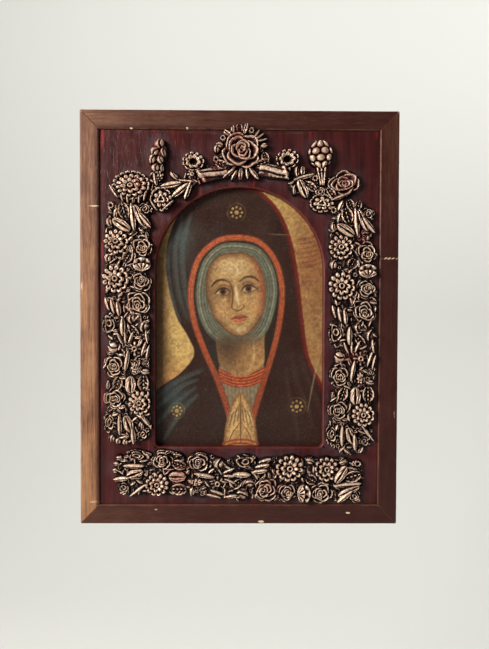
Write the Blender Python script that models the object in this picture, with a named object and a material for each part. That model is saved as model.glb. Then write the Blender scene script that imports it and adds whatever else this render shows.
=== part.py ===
"""Devotional icon panel: a mitred box frame around a board with an arched window,
a picture behind the window and four floral castings glued on the board.

+Z is up, the front looks along -Y, and the origin is on the back of the top rail.
Lengths in the constants are millimetres; MM turns them into Blender's metres.
"""

import math

import bmesh
import bpy
import numpy as np
from mathutils.geometry import delaunay_2d_cdt

MM = 0.001

# Box frame
WIDTH = 200.0
HEIGHT = 260.0
DEPTH = 30.0
RAIL_FACE = 12.0
RAIL_EDGE_ROUND = 0.4
REBATE_WIDTH = 5.0
REBATE_DEPTH = 8.0
JOINT_GAP = 0.3

# The rail keeps a land of this width behind the rebate, and the origin is on its middle
LAND = RAIL_FACE - REBATE_WIDTH
TOP = LAND / 2

# Board with the window
BOARD_RECESS = 1.5
BOARD_THICK = 5.0
WINDOW_WIDTH = 106.0
WINDOW_SPRING_DOWN = 100.5
WINDOW_FOOT_DOWN = 211.5
WINDOW_CORNER = 3.0
WINDOW_EASING = 0.6
ARCH_STEPS = 28
CORNER_STEPS = 4

# Picture and back
PICTURE_OVERLAP = 8.0
PICTURE_THICK = 2.0
BACK_THICK = 3.0

# Castings
CASTING_WEB = 1.3
LEAST_SPACING = 0.45
CROWN_FALL = 0.45
OWN_CROWN = 0.3

FRONT = -DEPTH
BOARD_FRONT = FRONT + BOARD_RECESS
BOARD_BACK = BOARD_FRONT + BOARD_THICK
CASTING_BACK = BOARD_FRONT - JOINT_GAP


def clear_scene():
    for obj in list(bpy.data.objects):
        bpy.data.objects.remove(obj, do_unlink=True)


def finish(name, colour, roughness, metallic):
    """A plain painted or cast finish."""
    material = bpy.data.materials.new(name)
    material.use_nodes = True
    shader = material.node_tree.nodes["Principled BSDF"]
    shader.inputs["Base Color"].default_value = (*colour, 1.0)
    shader.inputs["Roughness"].default_value = roughness
    shader.inputs["Metallic"].default_value = metallic
    return material


def add_object(name, bm, material):
    """Closes off a bmesh, given in millimetres, as one named object."""
    bmesh.ops.scale(bm, vec=(MM, MM, MM), verts=bm.verts)
    bmesh.ops.recalc_face_normals(bm, faces=bm.faces)
    mesh = bpy.data.meshes.new(name)
    bm.to_mesh(mesh)
    bm.free()
    mesh.materials.append(material)
    obj = bpy.data.objects.new(name, mesh)
    bpy.context.scene.collection.objects.link(obj)
    return obj


# Box frame


def rail(name, length, reach, turn, material):
    """One mitred rail, turned about the panel's centre; reach is the centre to its outer edge."""
    profile = (
        (0, FRONT),
        (RAIL_FACE, FRONT),
        (RAIL_FACE, -REBATE_DEPTH),
        (LAND, -REBATE_DEPTH),
        (LAND, 0),
        (0, 0),
    )
    mitre_cut = JOINT_GAP / 2 * math.sqrt(2)
    bm = bmesh.new()
    ends = []
    for side in (-1, 1):
        loop = [
            bm.verts.new((side * (length / 2 - inset - mitre_cut), y, reach - inset))
            for inset, y in profile
        ]
        ends.append(loop)
        bm.faces.new(loop)
    for i in range(len(profile)):
        j = (i + 1) % len(profile)
        bm.faces.new((ends[0][i], ends[0][j], ends[1][j], ends[1][i]))
    obj = add_object(name, bm, material)
    obj.location.z = (TOP - HEIGHT / 2) * MM
    obj.rotation_euler.y = math.radians(turn)
    rounding = obj.modifiers.new("eased edges", "BEVEL")
    rounding.width = RAIL_EDGE_ROUND * MM
    rounding.segments = 1
    rounding.limit_method = "ANGLE"
    return obj


# Flat boards


def rectangle(half_width, top, bottom):
    return [(-half_width, top), (half_width, top), (half_width, bottom), (-half_width, bottom)]


def arc(centre_x, centre_z, radius, start, end, steps):
    """Points from the start to the end angle, in degrees from +X towards +Z."""
    angles = np.radians(np.linspace(start, end, steps + 1))
    return [(centre_x + radius * math.cos(a), centre_z + radius * math.sin(a)) for a in angles]


def window_outline(ease):
    """The round-headed window, let out by ease all round."""
    half = WINDOW_WIDTH / 2 + ease
    spring = TOP - WINDOW_SPRING_DOWN
    foot = TOP - WINDOW_FOOT_DOWN - ease
    corner = WINDOW_CORNER + ease
    left = arc(-half + corner, foot + corner, corner, 180, 270, CORNER_STEPS)
    right = arc(half - corner, foot + corner, corner, 270, 360, CORNER_STEPS)
    head = arc(0, spring, half, 0, 180, ARCH_STEPS)
    return left + right + head


def closed_edges(verts):
    return [(verts[i], verts[(i + 1) % len(verts)]) for i in range(len(verts))]


def fill_between(bm, *loops):
    """Fills a flat face whose outline is the first loop and whose holes are the others."""
    edges = []
    for loop in loops:
        for pair in closed_edges(loop):
            edges.append(bm.edges.get(pair) or bm.edges.new(pair))
    bmesh.ops.triangle_fill(bm, use_beauty=True, edges=edges)


def join_loops(bm, first, second):
    for i in range(len(first)):
        j = (i + 1) % len(first)
        bm.faces.new((first[i], first[j], second[j], second[i]))


def plate(name, half_width, top, bottom, front, thick, material):
    """A plain rectangular board."""
    bm = bmesh.new()
    outline = rectangle(half_width, top, bottom)
    near = [bm.verts.new((x, front, z)) for x, z in outline]
    far = [bm.verts.new((x, front + thick, z)) for x, z in outline]
    bm.faces.new(near)
    bm.faces.new(far)
    join_loops(bm, near, far)
    return add_object(name, bm, material)


def window_board(name, material):
    """The board inside the rails, with its round-headed window eased at the front edge."""
    half_width = WIDTH / 2 - RAIL_FACE - JOINT_GAP
    top = TOP - RAIL_FACE - JOINT_GAP
    bottom = TOP - HEIGHT + RAIL_FACE + JOINT_GAP
    outline = rectangle(half_width, top, bottom)
    bm = bmesh.new()
    near = [bm.verts.new((x, BOARD_FRONT, z)) for x, z in outline]
    far = [bm.verts.new((x, BOARD_BACK, z)) for x, z in outline]
    eased = [bm.verts.new((x, BOARD_FRONT, z)) for x, z in window_outline(WINDOW_EASING)]
    throat = [
        bm.verts.new((x, BOARD_FRONT + WINDOW_EASING, z)) for x, z in window_outline(0)
    ]
    behind = [bm.verts.new((x, BOARD_BACK, z)) for x, z in window_outline(0)]
    fill_between(bm, near, eased)
    fill_between(bm, far, behind)
    join_loops(bm, near, far)
    join_loops(bm, eased, throat)
    join_loops(bm, throat, behind)
    return add_object(name, bm, material)


# Relief shapes. Each is modelled on a unit disc, where v runs down the shape and u
# across it, as lines of (u, v, height) points, with heights from 0 to 1. The lines
# are ridges, grooves and rims, and they stay edges of the finished relief.


def ring(radius, count, height, start=0.0):
    """A closed line of points round the middle."""
    step = 2 * math.pi / count
    angles = [start + i * step for i in range(count)]
    points = [(radius * math.cos(a), radius * math.sin(a), height) for a in angles]
    return points + points[:1]


def petal_ring(radius, petals, peak, dip, start=0.0):
    """A closed line that rises over each petal and falls back between two petals."""
    step = math.pi / petals
    points = []
    for i in range(2 * petals):
        angle = start + i * step
        reach, height = (radius, peak) if i % 2 == 0 else (radius * PETAL_NOTCH, dip)
        points.append((reach * math.cos(angle), reach * math.sin(angle), height))
    return points + points[:1]


PETAL_NOTCH = 0.86
PLAIN_RIM = (0.98, 8, 0.46)


def rose():
    """Three tiers of cupped petals round a bud, each tier lower than the one inside it."""
    return [
        [(0.0, 0.0, 0.80)],
        ring(0.25, 5, 1.00),
        ring(0.37, 5, 0.66, 0.3),
        petal_ring(0.64, 4, 0.94, 0.84, 0.4),
        ring(0.72, 8, 0.52, 0.2),
        petal_ring(0.98, 5, 0.66, 0.46, 0.9),
    ]


def rosette():
    """A rose too small for three tiers."""
    return [
        [(0.0, 0.0, 0.72)],
        ring(0.34, 5, 1.00),
        ring(0.54, 5, 0.62, 0.3),
        petal_ring(0.96, 4, 0.80, 0.50, 0.6),
    ]


def dahlia():
    """A hollow eye inside two rings of rounded petals."""
    return [
        [(0.0, 0.0, 0.50)],
        ring(0.19, 5, 0.95),
        ring(0.32, 5, 0.52, 0.4),
        petal_ring(0.60, 7, 1.00, 0.62),
        ring(0.74, 7, 0.44, 0.2),
        petal_ring(0.98, 10, 0.72, 0.36, 0.1),
    ]


def bud():
    """A closed bud, a plain round form."""
    return [[(0.0, 0.0, 1.00)], ring(0.58, 5, 0.86, 0.3), ring(*PLAIN_RIM)]


LEAF_STATIONS = (-0.5, 0.05, 0.55)


def leaf():
    """A pointed leaf: a sunk midrib between two raised blades."""
    widths = [math.sqrt(1 - v * v) for v in LEAF_STATIONS]
    rim = [(0.0, -1.0, 0.5)]
    rim += [(w, v, 0.46) for w, v in zip(widths, LEAF_STATIONS)]
    rim += [(0.0, 1.0, 0.4)]
    rim += [(-w, v, 0.46) for w, v in zip(reversed(widths), reversed(LEAF_STATIONS))]
    midrib = [(0.0, -0.8, 0.6)] + [(0.0, v, 0.58) for v in LEAF_STATIONS] + [(0.0, 0.8, 0.5)]
    blades = [
        [(side * 0.48 * w, v, 1.0 - 0.1 * v) for w, v in zip(widths, LEAF_STATIONS)]
        for side in (-1, 1)
    ]
    return [rim + rim[:1], midrib] + blades


def strand():
    """A stalk or a narrow blade with one ridge along it."""
    rim = [(0.0, -1.0, 0.5), (0.9, -0.4, 0.42), (0.9, 0.4, 0.42), (0.0, 1.0, 0.4)]
    rim += [(-0.9, 0.4, 0.42), (-0.9, -0.4, 0.42)]
    ridge = [(0.0, -0.7, 0.9), (0.0, 0.0, 1.0), (0.0, 0.7, 0.85)]
    return [rim + rim[:1], ridge]


def berries():
    """Round berries packed in a heap."""
    return [
        [(0.0, 0.0, 1.00)],
        ring(0.27, 5, 0.60),
        petal_ring(0.52, 5, 0.96, 0.56, math.pi / 5),
        petal_ring(0.92, 8, 0.74, 0.36),
    ]


FAN_RIBS = 5
FAN_SPREAD = 1.5


def fan():
    """Half a flower seen from the side: ribs that spread upwards from its foot."""
    outer = []
    inner = []
    for i in range(2 * FAN_RIBS + 1):
        angle = FAN_SPREAD * (i / FAN_RIBS - 1)
        across, up = math.sin(angle), math.cos(angle)
        outer.append((0.98 * across, 0.35 - 1.3 * up, 0.95 if i % 2 else 0.5))
        if i % 2:
            inner.append((0.5 * across, 0.45 - 0.6 * up, 0.85))
    foot = [(-0.5, 0.85, 0.5), (0.0, 0.95, 0.6), (0.5, 0.85, 0.5)]
    return [outer, inner, foot]


def daisy():
    """A ring-shaped eye with petals that radiate from it."""
    return [
        [(0.0, 0.0, 0.55)],
        ring(0.30, 6, 1.00),
        ring(0.46, 6, 0.50, 0.3),
        petal_ring(0.98, 7, 0.66, 0.40),
    ]


RIBBON_COLUMNS = (-0.85, -0.42, 0.0, 0.42, 0.85)
RIBBON_ROWS = (-0.8, 0.0, 0.75)
RIBBON_HALF = 0.9


def ribbon():
    """A ribbon's loose end: pleats along its length and a forked tip."""
    lines = []
    for column, u in enumerate(RIBBON_COLUMNS):
        height = 1.0 if column % 2 else 0.6
        tip = 0.18 * abs(u)
        lines.append([(u * (0.75 + 0.25 * v), v + tip * (v > 0), height) for v in RIBBON_ROWS])
    return lines


CONE_ROWS = 5
CONE_BULB = (-0.36, 0.62)
CONE_RIM = 1.02
CONE_STALK_ROWS = (0.34, 0.66, 0.96)
CONE_STALK_HALF = 0.42


def cone():
    """A scaly head on a ribbed stalk."""
    lines = [[(0.0, -0.98, 0.5)]]
    middle, reach = CONE_BULB
    for row in range(CONE_ROWS):
        v = middle + reach * (-0.8 + 1.6 * row / (CONE_ROWS - 1))
        half = math.sqrt(1 - ((v - middle) / reach) ** 2)
        line = []
        for i in range(5):
            u = half * (i / 2 - 1)
            high = (i + row) % 2 == 0
            edge = 0.45 if i in (0, 4) else 1.0
            line.append((u, v, edge * (1.0 if high else 0.78)))
        lines.append(line)
    lines += [[(-0.4, v, 0.42), (0.0, v, 0.75), (0.4, v, 0.42)] for v in CONE_STALK_ROWS]
    return lines


def web():
    """The thin skin of the casting that joins one motif to the next."""
    return [ring(0.995, 16, 0.0)]


SHAPES = {
    "rose": rose,
    "rosette": rosette,
    "dahlia": dahlia,
    "bud": bud,
    "leaf": leaf,
    "strand": strand,
    "berries": berries,
    "fan": fan,
    "daisy": daisy,
    "ribbon": ribbon,
    "cone": cone,
    "web": web,
}

# Each motif: shape, place across, place down, half width, half length, turn, rise.
# The turn is in degrees, counter-clockwise as seen from the front.

# Flower strip, as it comes from its mould: across from its left edge, down from its top
STRIP_LENGTH = 154.0
STRIP_MOTIFS = (
    ("bud", 4.8, 3.0, 2.4, 3.2, 0, 3.4),
    ("bud", 8.0, 8.0, 2.0, 4.2, -8, 4.0),
    ("leaf", 13.2, 8.0, 4.2, 7.2, 24, 4.6),
    ("strand", 19.0, 10.2, 1.7, 9.0, 6, 4.6),
    ("strand", 22.0, 9.6, 1.5, 7.6, 30, 5.0),
    ("strand", 25.4, 12.4, 1.5, 6.2, 40, 4.8),
    ("rosette", 26.6, 5.4, 4.2, 4.2, 0, 5.2),
    ("bud", 3.8, 13.6, 2.4, 3.3, 20, 4.4),
    ("leaf", 12.4, 14.8, 3.2, 6.6, 48, 4.8),
    ("bud", 2.6, 18.6, 1.8, 2.4, 0, 3.0),
    ("dahlia", 8.1, 25.7, 8.0, 8.0, 0, 6.2),
    ("rose", 23.9, 28.9, 7.1, 7.6, 10, 6.4),
    ("leaf", 15.2, 35.6, 3.6, 4.0, -30, 3.8),
    ("bud", 2.8, 36.2, 3.0, 3.2, 0, 4.2),
    ("fan", 24.4, 40.2, 6.2, 4.6, 0, 5.0),
    ("dahlia", 7.6, 49.2, 8.6, 9.2, 20, 6.4),
    ("rose", 23.2, 51.2, 6.7, 7.2, 60, 6.0),
    ("rose", 22.0, 64.2, 8.6, 7.8, 130, 6.6),
    ("strand", 2.8, 65.0, 2.0, 4.4, 16, 4.4),
    ("strand", 6.2, 66.6, 2.0, 4.8, 12, 4.8),
    ("strand", 9.6, 68.2, 2.0, 4.8, 8, 4.8),
    ("rose", 3.9, 78.6, 4.9, 9.0, 6, 5.6),
    ("strand", 12.3, 79.6, 2.2, 5.8, 0, 5.4),
    ("bud", 17.2, 74.6, 3.8, 3.4, 20, 3.6),
    ("leaf", 19.0, 82.4, 2.8, 5.0, 40, 4.2),
    ("bud", 25.0, 79.0, 4.3, 4.2, 0, 3.8),
    ("strand", 27.4, 86.0, 1.6, 4.6, 8, 4.2),
    ("strand", 10.6, 87.0, 1.4, 4.2, 24, 4.0),
    ("strand", 14.0, 86.6, 1.4, 4.0, 0, 4.2),
    ("strand", 17.4, 86.4, 1.4, 4.0, -22, 4.2),
    ("daisy", 19.6, 93.4, 4.8, 4.8, 0, 5.0),
    ("bud", 6.0, 93.0, 4.2, 3.6, 90, 4.8),
    ("strand", 25.4, 93.6, 1.5, 4.8, -18, 4.6),
    ("strand", 28.0, 95.6, 1.4, 5.0, -12, 4.4),
    ("rose", 6.8, 103.8, 7.0, 8.2, 0, 6.4),
    ("strand", 14.9, 101.0, 1.8, 6.8, -10, 5.0),
    ("berries", 19.6, 105.2, 3.2, 5.4, 0, 4.8),
    ("rosette", 26.2, 101.8, 3.5, 3.5, 30, 4.8),
    ("bud", 26.2, 108.0, 2.1, 3.4, 90, 4.2),
    ("leaf", 9.2, 115.2, 3.4, 5.0, -20, 5.0),
    ("bud", 3.0, 116.2, 1.9, 3.4, 0, 3.6),
    ("leaf", 17.1, 116.2, 3.8, 5.4, 0, 5.2),
    ("leaf", 25.2, 115.2, 3.9, 5.6, 0, 5.0),
    ("rose", 7.0, 124.8, 7.3, 7.2, 40, 6.4),
    ("dahlia", 22.6, 127.6, 7.4, 7.8, 10, 6.2),
    ("rosette", 3.9, 140.6, 4.3, 7.2, 0, 5.2),
    ("strand", 10.4, 141.6, 1.8, 6.8, 0, 5.0),
    ("leaf", 15.6, 141.0, 3.5, 5.4, 20, 4.8),
    ("strand", 18.8, 149.0, 2.0, 5.2, 4, 4.8),
    ("strand", 25.2, 137.8, 1.3, 5.2, 34, 4.2),
    ("strand", 28.0, 140.6, 1.3, 5.0, 34, 4.0),
    ("rosette", 24.6, 147.6, 4.6, 4.6, 0, 4.8),
)
# Small lobes along the foot of the strip, which the right one has lost
STRIP_HEM = (
    ("bud", 5.4, 150.4, 2.3, 2.6, 0, 3.8),
    ("bud", 9.2, 152.0, 2.3, 2.4, 0, 3.8),
    ("bud", 13.6, 152.4, 2.5, 2.4, 0, 3.8),
)
# Leaf tips above the strip's first row, which only the right one shows
STRIP_CAP = (
    ("strand", 9.2, 0.2, 1.8, 3.6, -24, 4.2),
    ("leaf", 15.2, -0.4, 2.6, 3.6, 20, 4.2),
    ("strand", 20.6, -0.6, 1.8, 4.6, -10, 4.0),
)
WEB_HALF_WIDTH = 14.4
WEB_HALF_LENGTH = 15.0
WEB_CENTRES = (15.8, 36.0, 58.0, 80.0, 102.0, 122.0, 138.0)
STRIP_WEB = tuple(
    ("web", 15.2, down, WEB_HALF_WIDTH, WEB_HALF_LENGTH, 0, 1.0) for down in WEB_CENTRES
)

# Crest: across from the panel's middle, down from its top edge
ROSE_LEAF_COUNT = 9
CREST_MOTIFS = (
    ("rose", 1.2, 25.8, 12.6, 11.9, 0, 9.2),
    ("bud", -14.6, 24.4, 2.4, 3.0, 0, 4.4),
    ("bud", -14.8, 31.0, 2.2, 2.8, 0, 4.2),
    ("leaf", -11.2, 34.8, 2.3, 4.6, 66, 4.6),
    ("leaf", 15.6, 29.6, 2.2, 3.6, 20, 4.4),
    ("leaf", 14.4, 33.4, 2.0, 5.0, -66, 4.6),
    ("strand", -7.0, 40.2, 1.3, 4.4, -50, 4.6),
    ("strand", -4.0, 41.2, 1.3, 3.8, -36, 4.6),
    ("strand", 1.0, 40.6, 1.2, 3.6, -10, 4.4),
    ("strand", 4.2, 39.8, 1.2, 3.2, -18, 4.2),
    ("strand", 8.8, 40.2, 1.3, 4.2, 36, 4.4),
    ("ribbon", -16.8, 40.6, 4.2, 9.4, -76, 4.8),
    ("ribbon", 21.4, 38.6, 4.0, 9.4, 82, 4.8),
    ("dahlia", -29.0, 32.6, 6.8, 5.6, 0, 5.8),
    ("dahlia", 29.8, 31.0, 7.4, 6.0, 15, 5.8),
    ("rosette", -30.6, 40.2, 3.9, 4.2, 0, 4.6),
    ("bud", -39.8, 42.0, 2.0, 4.4, 60, 4.2),
    ("strand", -32.8, 44.8, 1.3, 6.4, 76, 4.2),
    ("cone", -51.0, 33.0, 5.8, 14.2, -8, 6.0),
    ("bud", -51.6, 40.8, 4.6, 4.8, 0, 5.0),
    ("leaf", -41.8, 48.0, 2.5, 7.6, -70, 5.0),
    ("leaf", -36.8, 50.6, 2.3, 6.8, -42, 4.8),
    ("leaf", -33.2, 51.6, 1.7, 5.2, -14, 4.4),
    ("berries", -47.4, 56.2, 6.8, 8.4, 10, 5.8),
    ("dahlia", -67.9, 47.6, 12.2, 9.0, 6, 6.6),
    ("dahlia", -64.2, 45.4, 5.4, 5.0, 0, 7.2),
    ("bud", 35.6, 38.6, 2.2, 4.0, 10, 4.2),
    ("strand", 40.0, 42.2, 1.6, 6.6, 80, 4.8),
    ("leaf", 44.6, 41.6, 1.9, 4.2, 40, 4.4),
    ("leaf", 39.0, 48.4, 2.8, 5.6, 26, 5.0),
    ("bud", 33.8, 49.2, 1.6, 4.0, 0, 4.2),
    ("cone", 50.4, 33.0, 8.0, 14.0, 4, 7.0),
    ("leaf", 43.2, 46.0, 2.4, 5.2, 56, 4.8),
    ("rosette", 50.0, 49.8, 4.6, 4.2, 0, 5.4),
    ("berries", 50.0, 56.8, 6.8, 6.4, 0, 5.4),
    ("rose", 64.8, 45.2, 10.2, 8.6, 20, 6.8),
    ("leaf", 57.2, 51.6, 2.0, 4.8, 36, 4.4),
    ("web", -54.0, 47.0, 5.4, 5.0, 0, 1.0),
    ("web", -40.0, 48.0, 7.0, 4.4, 0, 1.0),
    ("web", -31.0, 43.4, 5.0, 6.0, 0, 1.0),
    ("web", -17.0, 39.0, 12.0, 4.8, 8, 1.0),
    ("web", 20.0, 38.0, 13.0, 5.0, -6, 1.0),
    ("web", 36.0, 45.0, 6.0, 7.0, 0, 1.0),
    ("web", 47.0, 47.0, 7.0, 6.0, 0, 1.0),
    ("web", 57.0, 46.6, 5.4, 4.4, 0, 1.0),
    ("web", 1.2, 25.8, 14.0, 13.4, 0, 1.0),
    ("web", 1.2, 38.6, 10.0, 3.0, 0, 1.0),
)


def rose_leaves():
    """Leaf tips that stand round the upper half of the crest's rose."""
    _, x, down, half_width, half_length, _, _ = CREST_MOTIFS[0]
    leaves = []
    for angle in np.linspace(-74, 72, ROSE_LEAF_COUNT):
        across = x + (half_width + 1.6) * math.sin(math.radians(angle))
        up = (half_length + 1.9) * math.cos(math.radians(angle))
        leaves.append(("leaf", across, down - up, 2.0, 3.2, 180 - angle, 4.6))
    return leaves


# Where each casting lies: across and down from the panel's top middle


def lay_left(across, down):
    return -85.1 + across, 56.7 + 0.99 * down


def lay_right(across, down):
    """This strip bows out a little at half its length and is squeezed together at its foot."""
    bow = 3.0 * math.sin(math.pi * min(max(down / STRIP_LENGTH, 0), 1))
    below = np.interp(down, (-4, 26, 140, STRIP_LENGTH), (54.8, 85.5, 203.0, 210.5))
    return 53.7 + across + bow, float(below)


def lay_bottom(across, down):
    """The strip on its side: its top end is at the right, and it rises a little at the left."""
    places_down = (0, 26, 78, 104, 125, STRIP_LENGTH)
    places_across = (77.5, 55.0, 3.5, -25.0, -48.5, -79.0)
    lift = 4.0 * min(max((down - 75) / 45, 0), 1)
    return float(np.interp(down, places_down, places_across)), 216.8 + 0.96 * across - lift


def lay_crest(across, down):
    return across, down


def laid(motifs, lay, turned=0.0):
    """The motifs at their places on the panel, as (shape, x, z, half sizes, turn, rise)."""
    placed = []
    for shape, across, down, half_width, half_length, turn, rise in motifs:
        x, below = lay(across, down)
        placed.append((shape, x, TOP - below, half_width, half_length, turn + turned, rise))
    return placed


def local(motif, x, z):
    """Panel coordinates as the motif's own u and v."""
    _, centre_x, centre_z, half_width, half_length, turn, _ = motif
    angle = math.radians(turn)
    right = (x - centre_x) * math.cos(angle) + (z - centre_z) * math.sin(angle)
    up = (z - centre_z) * math.cos(angle) - (x - centre_x) * math.sin(angle)
    return right / half_width, -up / half_length


def on_panel(motif, u, v):
    """A motif's own u and v as panel coordinates."""
    _, centre_x, centre_z, half_width, half_length, turn, _ = motif
    angle = math.radians(turn)
    right = u * half_width
    up = -v * half_length
    x = centre_x + right * math.cos(angle) - up * math.sin(angle)
    z = centre_z + right * math.sin(angle) + up * math.cos(angle)
    return x, z


def crown(motif, x, z):
    """Roughly how high the motif stands at each point, and zero outside it."""
    u, v = local(motif, x, z)
    reach = np.hypot(u, v)
    return np.where(reach < 1, motif[-1] * (1 - CROWN_FALL * reach**2), 0)


def crosses(edge, others):
    """True if the edge crosses any of the others, apart from at shared ends."""
    if not others:
        return False
    a, b = edge
    starts = np.array([pair[0] for pair in others])
    ends = np.array([pair[1] for pair in others])

    def side(p, q, r):
        return (q[..., 0] - p[..., 0]) * (r[..., 1] - p[..., 1]) - (q[..., 1] - p[..., 1]) * (
            r[..., 0] - p[..., 0]
        )

    apart = side(a, b, starts) * side(a, b, ends)
    astride = side(starts, ends, a) * side(starts, ends, b)
    return bool(np.any((apart < 0) & (astride < 0)))


def modelled_lines(motifs):
    """Points, heights and edges of every line that no higher motif hides."""
    points, heights, edges = [], [], []
    for index, motif in enumerate(motifs):
        for line in SHAPES[motif[0]]():
            last = None
            for u, v, level in line:
                x, z = on_panel(motif, u, v)
                height = max(level * motif[-1], CASTING_WEB)
                crowns = [crown(other, x, z) for other in motifs]
                crowns[index] += OWN_CROWN
                if max(crowns) > crowns[index]:
                    last = None
                    continue
                place = np.array((x, z))
                found = None
                if points:
                    gaps = np.hypot(*(np.array(points) - place).T)
                    found = int(np.argmin(gaps))
                    if gaps[found] > LEAST_SPACING:
                        found = None
                if found is None:
                    found = len(points)
                    points.append(place)
                    heights.append(height)
                if last is not None and last != found:
                    edge = (points[last], points[found])
                    if not crosses(edge, [(points[i], points[j]) for i, j in edges]):
                        edges.append((last, found))
                last = found
    return np.array(points), heights, edges


def footprint(motifs, x, z):
    """True where any motif covers the board."""
    covered = np.zeros(x.shape, bool)
    for motif in motifs:
        u, v = local(motif, x, z)
        inside = np.hypot(u, v) < 1
        if motif[0] == "cone":
            middle, reach = CONE_BULB
            bulb = np.hypot(u, (v - middle) / reach) < CONE_RIM
            inside = bulb | ((np.abs(u) < CONE_STALK_HALF) & (np.abs(v) < 1))
        if motif[0] == "ribbon":
            inside = (np.abs(u) < RIBBON_HALF) & (np.abs(v) < 1)
        covered |= inside
    return covered


def covered_triangles(motifs, points, triangles):
    """True for each triangle whose middle and whose sides' middles all lie on a motif."""
    corners = points[np.array(triangles)]
    sides = (corners + np.roll(corners, 1, axis=1)) / 2
    tests = np.concatenate((sides, corners.mean(axis=1, keepdims=True)), axis=1)
    return footprint(motifs, tests[..., 0], tests[..., 1]).all(axis=1)


def outside_triangles(triangles, covered):
    """The uncovered triangles that a path of uncovered triangles joins to the rim."""
    owners = {}
    for index, triangle in enumerate(triangles):
        for i in range(3):
            edge = frozenset((triangle[i], triangle[(i + 1) % 3]))
            owners.setdefault(edge, []).append(index)
    todo = [found[0] for found in owners.values() if len(found) == 1 and not covered[found[0]]]
    outside = set(todo)
    while todo:
        triangle = triangles[todo.pop()]
        for i in range(3):
            for other in owners[frozenset((triangle[i], triangle[(i + 1) % 3]))]:
                if other not in outside and not covered[other]:
                    outside.add(other)
                    todo.append(other)
    return outside


def border(triangles, kept):
    """The directed edges round the kept triangles."""
    edges = set()
    for index in kept:
        triangle = triangles[index]
        for i in range(3):
            edges.add((triangle[i], triangle[(i + 1) % 3]))
    return [edge for edge in edges if (edge[1], edge[0]) not in edges]


def perimeter(points, triangle):
    a, b, c = (points[i] for i in triangle)
    return math.dist(a, b) + math.dist(b, c) + math.dist(c, a)


def without_pinches(points, triangles, kept):
    """Adds the shortest triangle wherever the border meets itself at a single point."""
    while True:
        starts = {}
        for start, _ in border(triangles, kept):
            starts[start] = starts.get(start, 0) + 1
        pinched = [point for point, count in starts.items() if count > 1]
        if not pinched:
            return kept
        beside = [
            (perimeter(points, triangle), index)
            for index, triangle in enumerate(triangles)
            if index not in kept and min(pinched) in triangle
        ]
        kept.add(min(beside)[1])


def casting(name, motifs, material):
    """One closed casting with a flat back, its front a triangulated relief."""
    points, heights, lines = modelled_lines(motifs)
    triangles = delaunay_2d_cdt([tuple(p) for p in points], lines, [], 0, 1e-6)[2]
    every = set(range(len(triangles)))
    covered = covered_triangles(motifs, points, triangles)
    kept = every - outside_triangles(triangles, covered)
    covered[list(without_pinches(points, triangles, kept))] = True
    kept = every - outside_triangles(triangles, covered)
    used = sorted({corner for index in kept for corner in triangles[index]})

    bm = bmesh.new()
    front = {
        i: bm.verts.new((points[i][0], CASTING_BACK - heights[i], points[i][1])) for i in used
    }
    for index in sorted(kept):
        bm.faces.new([front[i] for i in triangles[index]])
    edges = dict(border(triangles, kept))
    back = {i: bm.verts.new((points[i][0], CASTING_BACK, points[i][1])) for i in edges}
    for start, end in edges.items():
        bm.faces.new((front[start], back[start], back[end], front[end]))
    start = min(edges)
    loop = [start]
    while edges[loop[-1]] != start:
        loop.append(edges[loop[-1]])
    bm.faces.new([back[i] for i in loop])
    bm.normal_update()
    bmesh.ops.triangulate(bm, faces=bm.faces)
    return add_object(name, bm, material)


def notch_for_rail(obj):
    """Cuts the crest's back away where its leaf tips reach over the top rail."""
    bm = bmesh.new()
    bmesh.ops.create_cube(bm, size=1.0)
    depth = JOINT_GAP + BOARD_RECESS + JOINT_GAP + 1.0
    bmesh.ops.scale(bm, vec=(WIDTH, depth, RAIL_FACE + JOINT_GAP), verts=bm.verts)
    middle_y = FRONT - JOINT_GAP + depth / 2
    middle_z = TOP - (RAIL_FACE + JOINT_GAP) / 2
    bmesh.ops.translate(bm, vec=(0, middle_y, middle_z), verts=bm.verts)
    cutter = add_object("crest_notch", bm, obj.data.materials[0])
    cutter.hide_render = True
    cutter.display_type = "WIRE"
    cut = obj.modifiers.new("notch over the rail", "BOOLEAN")
    cut.operation = "DIFFERENCE"
    cut.object = cutter


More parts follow.
